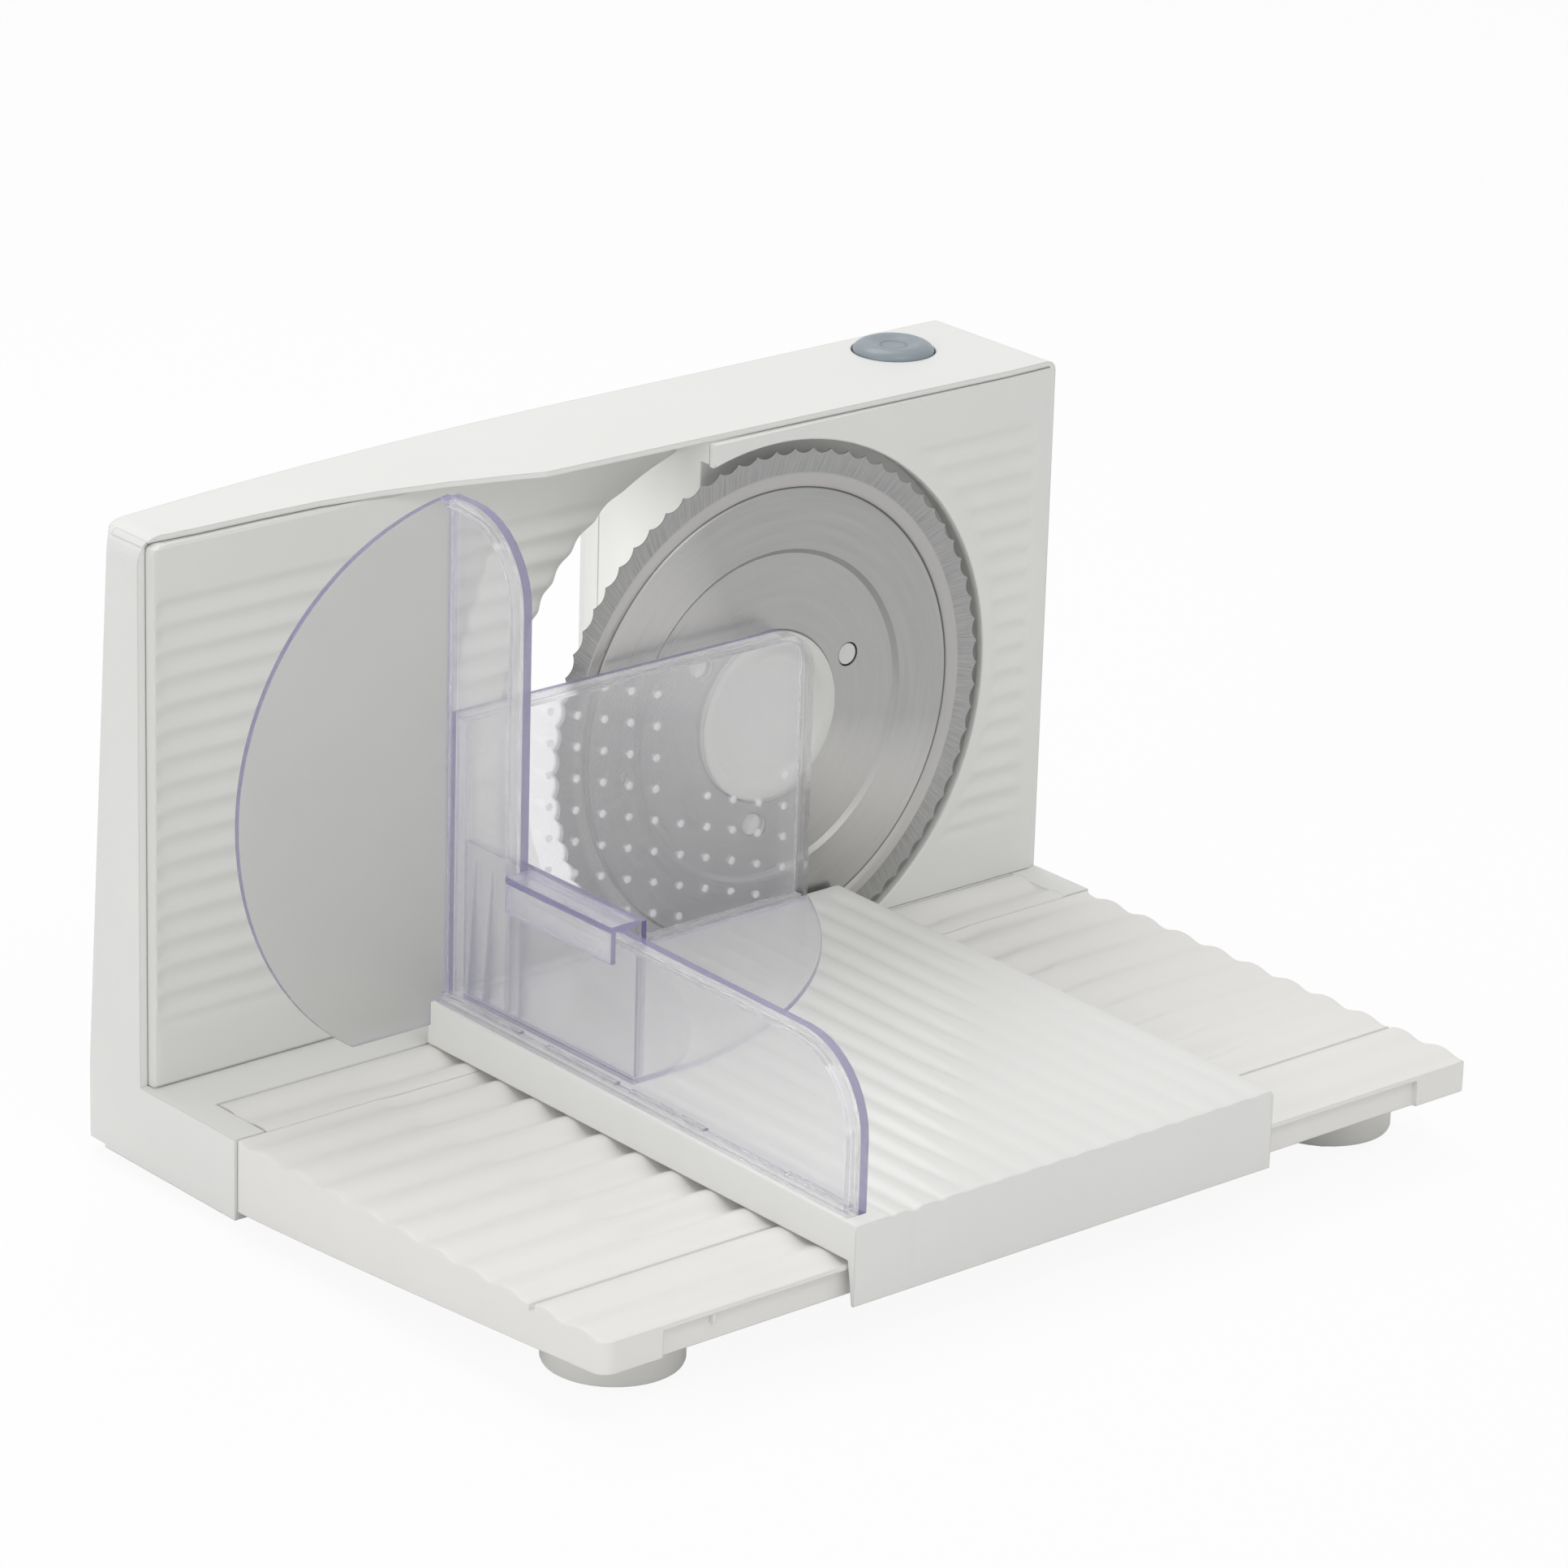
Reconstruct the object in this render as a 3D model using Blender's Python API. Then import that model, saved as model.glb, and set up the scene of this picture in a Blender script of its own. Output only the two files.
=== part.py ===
"""Folding electric food slicer with a 170 mm blade.

Metres, +Z up, +X to the right along the housing and -Y towards the person slicing. Shapes are
written in the slicer's own frame, whose origin is the blade's centre on its cutting plane. One
empty carries that frame, so that the world's origin is the middle of the footprint on the table.
"""

from math import atan2, ceil, cos, floor, pi, sin, sqrt

import bmesh
import bpy
from mathutils import Matrix, Vector

# Blade and its hub
BLADE_RADIUS = 0.085
BLADE_TEETH = 72
TOOTH_DEPTH = 0.0016
BLADE_THICKNESS = 0.0011
GROUND_BAND = 0.0078
RAISED_RING = 0.0050
DISH_RADIUS = 0.053
DISH_DEPTH = 0.0026
BLADE_HOLE_RADIUS = 0.004
BLADE_HOLE_CIRCLE = 0.0343
HUB_RADIUS = 0.027
HUB_FACE_BACK = 0.0012
HUB_NECK_RADIUS = 0.0125
AXLE_RADIUS = 0.004

# Housing
HOUSING_LENGTH = 0.333
BLADE_TO_TOP = 0.0086
BLADE_TO_RIGHT = 0.0294
BLADE_BELOW_DECK = 0.0094
BASE_HEIGHT = 0.0254
FEET_HEIGHT = 0.004
HOUSING_BACK = 0.055
BACK_TAPER = 0.014
BASE_BACK_TAPER = 0.003
SWEEP_LENGTH = 0.0855
SWEEP_SETBACK = 0.0044
TOP_CORNER = 0.008
SIDE_CORNER = 0.0035
WALL = 0.0025
LIP = 0.0018
ARM_REACH = 0.0245
ARM_WIDTH = 0.0107
CASING_LEFT = -0.024
PLATE_GAP = 0.0025
BLADE_POCKET = 0.007
CLEARANCE = 0.0003
GLIDE = 0.0006

# Ribbed faces
RIB_PITCH = 0.0081
RIB_DEPTH = 0.0013
RIB_CREST = 0.0034
RIB_BORDER = 0.0135
PLATE_THICKNESS = 0.0028
STOP_TRAVEL = 0.0188
STOP_SKIRT = 0.016

# Thickness drive
KNOB_INSET = 0.0686
KNOB_Z = -0.020
KNOB_RADIUS = 0.021
KNOB_LENGTH = 0.016
SPINDLE_RADIUS = 0.004
GUIDE_ROD_RADIUS = 0.003
GUIDE_ROD_SPREAD = 0.036
BUSH_WALL = 0.002

# Platform
PLATFORM_REACH = 0.1935
PLATFORM_BACK_HEIGHT = 0.0228
PLATFORM_FRONT_HEIGHT = 0.0105
WAVE_PITCH = 0.0162
WAVE_DEPTH = 0.0010
GROOVE_INSET = 0.032
GROOVE_WIDTH = 0.002
GROOVE_DEPTH = 0.0026
PLATFORM_CORNER = 0.006
PLATFORM_LIP = 0.0024
CORNER_BLOCK = 0.0207
HINGE_Y = -0.0130
HINGE_BELOW_DECK = 0.0129
HINGE_PIN_RADIUS = 0.003
FOOT_RADIUS = 0.0205
LEFT_FOOT_INSET = 0.0341
RIGHT_FOOT_INSET = 0.0229
FRONT_FOOT_INSET = 0.037
PAD_HEIGHT = 0.0016
REAR_FOOT_RADIUS = 0.009
BASE_COVER = 0.002
POST_RADIUS = 0.005

# Carriage, guard and food holder
CARRIAGE_LEFT = -0.1315
CARRIAGE_WIDTH = 0.1605
CARRIAGE_BACK_GAP = 0.0015
CARRIAGE_RISE = 0.0143
CARRIAGE_FRONT_DIP = 0.0022
SKIRT_HEIGHT = 0.0245
CARRIAGE_RIBS = 15
CARRIAGE_RIB_DEPTH = 0.0008
GUARD_PANEL = 0.0026
GUARD_FLANGE = 0.0070
FLANGE_THICKNESS = 0.002
GUARD_OVER_TOP = 0.0029
GUARD_TALL_DEPTH = 0.0345
GUARD_WALL_HEIGHT = 0.0468
GUARD_ARC = 0.026
HAND_SHIELD_RADIUS = 0.0912
HAND_SHIELD_OFFSET = 0.0122
HAND_SHIELD_Z = 0.0095
SHIELD_HANG = 0.0071
HOLDER_WALL = 0.002
HOLDER_WIDTH = 0.1335
HOLDER_HEIGHT = 0.0923
HOLDER_DEPTH = 0.088
HOLDER_CORNER = 0.013
HOLDER_RIM = 0.0045
HOLDER_FLOOR_ARC = 0.149
HOOK_FLAP = 0.011
HOOK_LENGTH = 0.050
SPIKE_HEIGHT = 0.0019
SPIKE_PITCH_X = 0.0112
SPIKE_PITCH_Z = 0.0100

# Drive
GEAR_TEETH = 36
GEAR_RADIUS = 0.0200
GEAR_WIDTH = 0.008
GEAR_Y = 0.034
WORM_RADIUS = 0.0046
WORM_LENGTH = 0.018
MOTOR_RADIUS = 0.021
MOTOR_LENGTH = 0.050
MOTOR_START = 0.034
MOTOR_BELL = 0.008
CRADLE_FRONT_INSET = 0.010
CRADLE_BACK_INSET = 0.014
CRADLE_WALL = 0.004
BUTTON_RIGHT_INSET = 0.0349
BUTTON_BACK_INSET = 0.0165
BUTTON_RADIUS = 0.0128
BUTTON_PROUD = 0.0028
BUTTON_TRAVEL = 0.003
BUTTON_SKIRT = 0.004
SPRING_SEAT_DEPTH = 0.030
SWITCH_HALF_WIDTH = 0.014
SWITCH_HEIGHT = 0.016
SWITCH_MARGIN = 0.009
COVER_BULGE = 0.017
GLAND_INSET = 0.0224
GLAND_Z = 0.040
GLAND_RADIUS = 0.0052
LEAD_RADIUS = 0.0035

# Colours as the material sees them: red, green, blue, roughness, metallic
FINISHES = {
    "white_plastic": ((0.80, 0.80, 0.78), 0.42, 0.0),
    "warm_white_plastic": ((0.80, 0.79, 0.75), 0.45, 0.0),
    "clear_plastic": ((0.62, 0.60, 0.72), 0.15, 0.0),
    "button_plastic": ((0.26, 0.31, 0.34), 0.35, 0.0),
    "blade_steel": ((0.62, 0.62, 0.61), 0.28, 1.0),
    "plain_steel": ((0.55, 0.55, 0.55), 0.40, 1.0),
    "gear_nylon": ((0.78, 0.76, 0.68), 0.50, 0.0),
    "bronze": ((0.60, 0.42, 0.20), 0.35, 1.0),
    "dark_plastic": ((0.04, 0.04, 0.045), 0.50, 0.0),
    "rubber": ((0.10, 0.10, 0.10), 0.80, 0.0),
}

# Places that follow from the sizes above
HOUSING_TOP = BLADE_RADIUS + BLADE_TO_TOP
HOUSING_RIGHT = BLADE_RADIUS + BLADE_TO_RIGHT
HOUSING_LEFT = HOUSING_LENGTH - HOUSING_RIGHT
DECK_DROP = BLADE_RADIUS - BLADE_BELOW_DECK
HOUSING_DROP = DECK_DROP + BASE_HEIGHT
STANDING_DROP = HOUSING_DROP + FEET_HEIGHT
SWEEP_END = -BLADE_RADIUS
SWEEP_START = SWEEP_END - SWEEP_LENGTH
FRONT_SETBACK = STOP_TRAVEL + PLATE_THICKNESS
STOP_FACE = STOP_TRAVEL
KNOB_X = KNOB_INSET - HOUSING_LEFT
GROOVE_Y = GROOVE_INSET - PLATFORM_REACH
HINGE_DROP = DECK_DROP + HINGE_BELOW_DECK
LEFT_FOOT_X = LEFT_FOOT_INSET - HOUSING_LEFT
RIGHT_FOOT_X = HOUSING_RIGHT - RIGHT_FOOT_INSET
FOOT_Y = FRONT_FOOT_INSET - PLATFORM_REACH
BUTTON_X = HOUSING_RIGHT - BUTTON_RIGHT_INSET
BUTTON_Y = HOUSING_BACK - BUTTON_BACK_INSET
GLAND_X = HOUSING_RIGHT - GLAND_INSET
CARRIAGE_TOP_DROP = DECK_DROP - CARRIAGE_RISE
INNER_TOP = HOUSING_TOP - LIP
CARRIAGE_RIGHT = CARRIAGE_LEFT + CARRIAGE_WIDTH
CARRIAGE_FRONT = -PLATFORM_REACH - CLEARANCE - GLIDE - WALL
GUARD_LEFT = CARRIAGE_LEFT + 2 * GLIDE
PANEL_LEFT = GUARD_LEFT + GUARD_FLANGE - GUARD_PANEL
PANEL_RIGHT = GUARD_LEFT + GUARD_FLANGE
GUARD_TOP = HOUSING_TOP + GUARD_OVER_TOP
GUARD_LOW_TOP_DROP = CARRIAGE_TOP_DROP - GUARD_WALL_HEIGHT
HAND_SHIELD_X = PANEL_RIGHT + HAND_SHIELD_OFFSET
SHIELD_DROP = CARRIAGE_TOP_DROP + SHIELD_HANG
HOLDER_LEFT = PANEL_RIGHT + CLEARANCE
HOLDER_RIGHT = HOLDER_LEFT + HOLDER_WIDTH
HOLDER_TOP = HOLDER_HEIGHT - CARRIAGE_TOP_DROP
PLATE_CUT_RADIUS = BLADE_RADIUS + PLATE_GAP
BASE_HOLLOW_FRONT = BLADE_POCKET + WALL
BASE_HOLLOW_BACK = HOUSING_BACK - BASE_BACK_TAPER - WALL - 0.001
WORLD_OFFSET = Vector(
    (
        (HOUSING_LEFT - HOUSING_RIGHT) / 2,
        -(CARRIAGE_FRONT + HOUSING_BACK + COVER_BULGE) / 2,
        STANDING_DROP,
    )
)


def clear_scene():
    for old in list(bpy.data.objects):
        bpy.data.objects.remove(old, do_unlink=True)


def material(name):
    found = bpy.data.materials.get(name)
    if found:
        return found
    colour, roughness, metallic = FINISHES[name]
    made = bpy.data.materials.new(name)
    made.use_nodes = True
    shader = made.node_tree.nodes["Principled BSDF"]
    shader.inputs["Base Color"].default_value = (*colour, 1.0)
    shader.inputs["Roughness"].default_value = roughness
    shader.inputs["Metallic"].default_value = metallic
    made.diffuse_color = (*colour, 1.0)
    return made


def new_object(name, mesh_builder):
    """Links an object whose mesh is what the builder leaves in a bmesh, faces turned outwards."""
    bm = bmesh.new()
    mesh_builder(bm)
    bmesh.ops.recalc_face_normals(bm, faces=bm.faces)
    mesh = bpy.data.meshes.new(name)
    bm.to_mesh(mesh)
    bm.free()
    obj = bpy.data.objects.new(name, mesh)
    bpy.context.scene.collection.objects.link(obj)
    return obj


def loft(name, rings):
    """A closed solid through rings of equal length, with flat caps on the first and the last."""

    def build(bm):
        made = [[bm.verts.new(point) for point in ring] for ring in rings]
        count = len(made[0])
        for lower, upper in zip(made, made[1:]):
            for i in range(count):
                j = (i + 1) % count
                bm.faces.new((lower[i], lower[j], upper[j], upper[i]))
        bm.faces.new(made[0])
        bm.faces.new(made[-1])

    return new_object(name, build)


def prism(name, outline, axis, start, end):
    """The outline's two coordinates are the other two axes in the order X, Y, Z."""

    def place(pair, along):
        values = list(pair)
        values.insert("XYZ".index(axis), along)
        return values

    return loft(name, [[place(p, start) for p in outline], [place(p, end) for p in outline]])


def block(name, low, high):
    outline = [(low[0], low[1]), (high[0], low[1]), (high[0], high[1]), (low[0], high[1])]
    return prism(name, outline, "Z", low[2], high[2])


def arc(centre, radius, start, end, steps):
    """Points on a circle from one angle to another, both ends included."""
    points = []
    for i in range(steps + 1):
        angle = start + (end - start) * i / steps
        points.append((centre[0] + radius * cos(angle), centre[1] + radius * sin(angle)))
    return points


def rounded(low, high, radii, steps=5):
    """A rectangle whose corners, from the lower left one round to the left, have these radii."""
    corners = [(low[0], low[1], 1, 1), (high[0], low[1], -1, 1), (high[0], high[1], -1, -1), (low[0], high[1], 1, -1)]
    points = []
    for index, (x, y, to_x, to_y) in enumerate(corners):
        radius = radii[index]
        if radius <= 0:
            points.append((x, y))
            continue
        begin = pi + index * pi / 2
        points += arc((x + to_x * radius, y + to_y * radius), radius, begin, begin + pi / 2, steps)
    return points


def turned(name, profile, segments, centre=(0.0, 0.0, 0.0), axis="Y"):
    """A solid of revolution: the profile lists (radius, along) and ends on the axis or closes."""

    def build(bm):
        rings = []
        for radius, along in profile:
            if radius < 1e-6:
                rings.append([bm.verts.new(axis_point(0.0, 0.0, along, axis))])
                continue
            rings.append(
                [
                    bm.verts.new(axis_point(radius * cos(t), radius * sin(t), along, axis))
                    for t in (2 * pi * i / segments for i in range(segments))
                ]
            )
        pairs = list(zip(rings, rings[1:]))
        if len(rings[0]) > 1 and len(rings[-1]) > 1:
            pairs.append((rings[-1], rings[0]))
        for one, two in pairs:
            for i in range(segments):
                j = (i + 1) % segments
                if len(one) == 1:
                    bm.faces.new((one[0], two[j], two[i]))
                elif len(two) == 1:
                    bm.faces.new((one[i], one[j], two[0]))
                else:
                    bm.faces.new((one[i], one[j], two[j], two[i]))
        bmesh.ops.translate(bm, verts=bm.verts, vec=centre)

    return new_object(name, build)


def axis_point(a, b, along, axis):
    if axis == "X":
        return (along, a, b)
    if axis == "Y":
        return (a, along, b)
    return (a, b, along)


def rod(name, centre, radius, start, end, axis="Y", segments=16):
    """A round bar: the centre gives the two coordinates across its axis."""
    profile = [(0.0, start), (radius, start), (radius, end), (0.0, end)]
    values = list(centre)
    values.insert("XYZ".index(axis), 0.0)
    return turned(name, profile, segments, values, axis)


def tube(name, centre, outer, inner, start, end, axis="Y", segments=16):
    profile = [(inner, start), (outer, start), (outer, end), (inner, end)]
    values = list(centre)
    values.insert("XYZ".index(axis), 0.0)
    return turned(name, profile, segments, values, axis)


def combine(body, tool, operation="DIFFERENCE"):
    """Cuts or joins a helper solid and takes the helper away."""
    change = body.modifiers.new("combine", "BOOLEAN")
    change.operation = operation
    change.solver = "EXACT"
    change.object = tool
    graph = bpy.context.evaluated_depsgraph_get()
    mesh = bpy.data.meshes.new_from_object(body.evaluated_get(graph))
    body.modifiers.clear()
    body.data = mesh
    bpy.data.objects.remove(tool, do_unlink=True)
    return body


def join_bodies(name, pieces):
    """One object that holds several solids, which stay separate bodies."""

    def build(bm):
        for piece in pieces:
            bm.from_mesh(piece.data)

    made = new_object(name, build)
    for piece in pieces:
        bpy.data.objects.remove(piece, do_unlink=True)
    return made


def seat(obj, finish, carrier, pivot=(0.0, 0.0, 0.0), smooth_angle=0.6):
    """Gives the finished piece its material and hangs it on the empty at its pivot."""
    obj.data.transform(Matrix.Translation(-Vector(pivot)))
    obj.data.materials.clear()
    obj.data.materials.append(material(finish))
    for face in obj.data.polygons:
        face.use_smooth = True
        face.material_index = 0
    obj.data.set_sharp_from_angle(angle=smooth_angle)
    obj.parent = carrier
    return obj


def empty(name, location, parent=None):
    made = bpy.data.objects.new(name, None)
    made.location = location
    made.empty_display_size = 0.02
    made.parent = parent
    bpy.context.scene.collection.objects.link(made)
    return made


def front_edge(x):
    """How far behind the cutting plane the top's front edge lies: it sweeps forward to the right."""
    if x <= SWEEP_START:
        return FRONT_SETBACK
    if x < SWEEP_END:
        share = (x - SWEEP_START) / (SWEEP_END - SWEEP_START)
        return FRONT_SETBACK + (SWEEP_SETBACK - FRONT_SETBACK) * share**1.8
    share = (x - SWEEP_END) / (HOUSING_RIGHT - SWEEP_END)
    return SWEEP_SETBACK * (1 - share) + CLEARANCE * share


def back_edge(x, z):
    """The back bows forward towards the left end, more at the top than at the foot."""
    height = min(1.0, max(0.0, (z + DECK_DROP) / (HOUSING_TOP + DECK_DROP)))
    taper = BASE_BACK_TAPER + (BACK_TAPER - BASE_BACK_TAPER) * height
    share = min(1.0, max(0.0, (-x - 0.04) / (HOUSING_LEFT - 0.04)))
    return HOUSING_BACK - taper * share**2


def housing_ring(z, inset, front):
    """The housing's plan at one height. Front is a function of x, and inset thins it all round."""
    left = -HOUSING_LEFT + inset
    right = HOUSING_RIGHT - inset
    stations = [left + (right - left) * i / 16 for i in range(17)]
    stations = sorted(set(stations) | {SWEEP_END})
    corner = SIDE_CORNER if inset == 0 else SIDE_CORNER / 2
    ring = []
    for x in stations:
        ease = corner if x in (left, right) and inset == 0 else 0.0
        ring.append((x, front(x) + ease * 0.3, z))
    ring.append((right, back_edge(right, z) - inset - corner, z))
    for x in reversed(stations):
        if x == right:
            x = right - corner
        if x == left:
            x = left + corner
        ring.append((x, back_edge(x, z) - inset, z))
    ring.append((left, back_edge(left, z) - inset - corner, z))
    return ring


def housing_solid(name, inset, front, bottom, top):
    heights = [bottom, -DECK_DROP, 0.0, HOUSING_TOP * 0.5, top]
    heights = [z for z in heights if bottom <= z <= top]
    return loft(name, [housing_ring(z, inset, front) for z in heights])


def opening_outline(radius):
    """The gap that slices fall through, between the stop plate's curved edge and the casing."""
    top = atan2(sqrt(radius**2 - CASING_LEFT**2), CASING_LEFT)
    low_z = -DECK_DROP
    bottom = 2 * pi - atan2(-low_z, -sqrt(radius**2 - low_z**2))
    outline = arc((0.0, 0.0), radius, top, bottom, 28)
    outline.append((CASING_LEFT, low_z))
    return outline


def cover_top():
    return -HOUSING_DROP + BASE_COVER


def base_posts():
    """Where the bottom cover is held, which is also where the rubber feet sit."""
    inset = WALL + 1.5 * REAR_FOOT_RADIUS
    places = []
    for x in (-HOUSING_LEFT + inset, HOUSING_RIGHT - inset):
        for y in (BASE_HOLLOW_FRONT + REAR_FOOT_RADIUS, BASE_HOLLOW_BACK - REAR_FOOT_RADIUS):
            places.append((x, y))
    return places


def make_base_cover():
    gap = CLEARANCE
    return block(
        "base_cover",
        (-HOUSING_LEFT + WALL + gap, BASE_HOLLOW_FRONT + gap, -HOUSING_DROP),
        (HOUSING_RIGHT - WALL - gap, BASE_HOLLOW_BACK - gap, cover_top()),
    )


def make_housing():
    body = housing_solid("housing", 0.0, front_edge, -HOUSING_DROP, HOUSING_TOP)
    outline = rounded(
        (-HOUSING_LEFT, -HOUSING_DROP),
        (HOUSING_RIGHT, HOUSING_TOP),
        (0.002, 0.002, SIDE_CORNER, TOP_CORNER),
        6,
    )
    reach = 0.2
    body = combine(body, prism("outline", outline, "Y", -reach, reach), "INTERSECT")
    base = block(
        "base",
        (-HOUSING_LEFT, -ARM_REACH, -HOUSING_DROP),
        (HOUSING_RIGHT, HOUSING_BACK - BACK_TAPER, -DECK_DROP),
    )
    body = combine(body, base, "UNION")
    bay = block(
        "platform_bay",
        (-HOUSING_LEFT + ARM_WIDTH, -reach, -reach),
        (HOUSING_RIGHT - ARM_WIDTH, 0.0, -DECK_DROP + 0.02),
    )
    body = combine(body, bay)

    def recess_front(_):
        return -reach

    recess = housing_solid("stop_recess", WALL, recess_front, -DECK_DROP, INNER_TOP)
    keep = block("left_half", (-reach * 2, -reach * 2, -reach), (CASING_LEFT, reach, reach))
    body = combine(body, combine(recess, keep, "INTERSECT"))
    front_pocket = block(
        "plate_pocket",
        (CASING_LEFT - WALL, -reach, -DECK_DROP),
        (HOUSING_RIGHT - WALL, PLATE_THICKNESS + CLEARANCE, INNER_TOP),
    )
    body = combine(body, front_pocket)
    slot = rod("blade_slot", (0.0, 0.0), BLADE_RADIUS + WALL + GLIDE, -CLEARANCE, BLADE_POCKET, "Y", 64)
    body = combine(body, slot)
    casing = block(
        "casing_cavity",
        (CASING_LEFT + WALL, BLADE_POCKET + WALL, -DECK_DROP + WALL),
        (HOUSING_RIGHT - WALL, reach, INNER_TOP),
    )
    body = combine(body, casing)
    gap = prism("slice_opening", opening_outline(BLADE_RADIUS + 2 * WALL + GLIDE), "Y", -reach, reach)
    body = combine(body, gap)
    hollow = block(
        "base_hollow",
        (-HOUSING_LEFT + WALL, BASE_HOLLOW_FRONT, -reach),
        (HOUSING_RIGHT - WALL, BASE_HOLLOW_BACK, -DECK_DROP - WALL),
    )
    body = combine(body, hollow)
    for x, y in base_posts():
        post = rod("post", (x, y), POST_RADIUS, cover_top() + CLEARANCE, -DECK_DROP - WALL / 2, "Z", 12)
        body = combine(body, post, "UNION")
    body = combine(body, rod("hub_hole", (0.0, 0.0), HUB_NECK_RADIUS + 2 * GLIDE, 0.0, 0.02, "Y", 24))
    body = combine(
        body,
        rod("button_hole", (BUTTON_X, BUTTON_Y), BUTTON_RADIUS + GLIDE, INNER_TOP - 0.01, reach, "Z", 36),
    )
    wall_y = back_edge(KNOB_X, KNOB_Z)
    body = combine(
        body,
        rod("spindle_hole", (KNOB_X, KNOB_Z), SPINDLE_RADIUS + GLIDE / 2, wall_y - 0.02, wall_y + 0.02),
    )
    for side in (-1, 1):
        where = (KNOB_X, KNOB_Z + side * GUIDE_ROD_SPREAD)
        body = combine(body, rod("rod_socket", where, GUIDE_ROD_RADIUS + CLEARANCE, 0.0, reach))
    for x in (-HOUSING_LEFT + ARM_WIDTH, HOUSING_RIGHT - ARM_WIDTH):
        hole = rod(
            "pin_hole",
            (HINGE_Y, -HINGE_DROP),
            HINGE_PIN_RADIUS + CLEARANCE,
            x - ARM_WIDTH / 2,
            x + ARM_WIDTH / 2,
            "X",
        )
        body = combine(body, hole)
    return body


def rib_face(low, high, face):
    """Points up a ribbed face, from one flat border to the other. The ribs keep one rhythm."""
    per_rib = 4
    first = ceil((low + RIB_BORDER - RIB_CREST) / RIB_PITCH)
    last = floor((high - RIB_BORDER - RIB_CREST) / RIB_PITCH)
    points = [(face, low)]
    for i in range((last - first) * per_rib + 1):
        sink = RIB_DEPTH * (0.5 - 0.5 * cos(2 * pi * i / per_rib)) ** 0.8
        points.append((face + sink, RIB_CREST + (first + i / per_rib) * RIB_PITCH))
    points.append((face, high))
    return points


def ribbed_slab(name, left, right, low, high, face):
    profile = rib_face(low, high, face)
    profile += [(face + PLATE_THICKNESS, high), (face + PLATE_THICKNESS, low)]
    return prism(name, profile, "X", left, right)


def make_front_plate():
    low = -DECK_DROP + CLEARANCE
    high = INNER_TOP - CLEARANCE
    plate = ribbed_slab("front_plate", CASING_LEFT, HOUSING_RIGHT - WALL - CLEARANCE, low, high, 0.0)
    return combine(plate, rod("blade_gap", (0.0, 0.0), PLATE_CUT_RADIUS, -0.01, 0.02, "Y", 80))


def stop_outline(inset):
    """The stop plate seen from the front, drawn in by the inset all round."""
    radius = PLATE_CUT_RADIUS + inset
    left = -HOUSING_LEFT + WALL + CLEARANCE + inset
    right = CASING_LEFT - CLEARANCE - inset
    low = -DECK_DROP + CLEARANCE + inset
    high = INNER_TOP - CLEARANCE - inset
    start = atan2(sqrt(radius**2 - right**2), right)
    end = 2 * pi - atan2(-low, -sqrt(radius**2 - low**2))
    curve = arc((0.0, 0.0), radius, start, end, 28)
    return curve + [(left, low), (left, high), (right, high)]


def make_stop_plate():
    face = STOP_FACE
    low = -DECK_DROP + CLEARANCE
    high = INNER_TOP - CLEARANCE
    slab = ribbed_slab("stop_plate", -HOUSING_LEFT, 0.0, low, high, face)
    slab = combine(slab, prism("edge", stop_outline(0.0), "Y", face - 0.01, face + 0.02), "INTERSECT")
    skirt = prism("skirt", stop_outline(0.0), "Y", face + PLATE_THICKNESS / 2, face + STOP_SKIRT)
    inside = prism("inside", stop_outline(WALL), "Y", face + PLATE_THICKNESS, face + STOP_SKIRT + 0.01)
    slab = combine(slab, combine(skirt, inside), "UNION")
    reach = back_edge(KNOB_X, HOUSING_TOP) - WALL - GLIDE
    bushes = [((KNOB_X, KNOB_Z), SPINDLE_RADIUS)]
    for side in (-1, 1):
        bushes.append(((KNOB_X, KNOB_Z + side * GUIDE_ROD_SPREAD), GUIDE_ROD_RADIUS))
    for centre, radius in bushes:
        outer = rod("bush", centre, radius + GLIDE + BUSH_WALL, face + PLATE_THICKNESS / 2, reach)
        slab = combine(slab, outer, "UNION")
        bore = rod("bore", centre, radius + GLIDE, face + PLATE_THICKNESS, reach + 0.01)
        slab = combine(slab, bore)
    return slab


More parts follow.
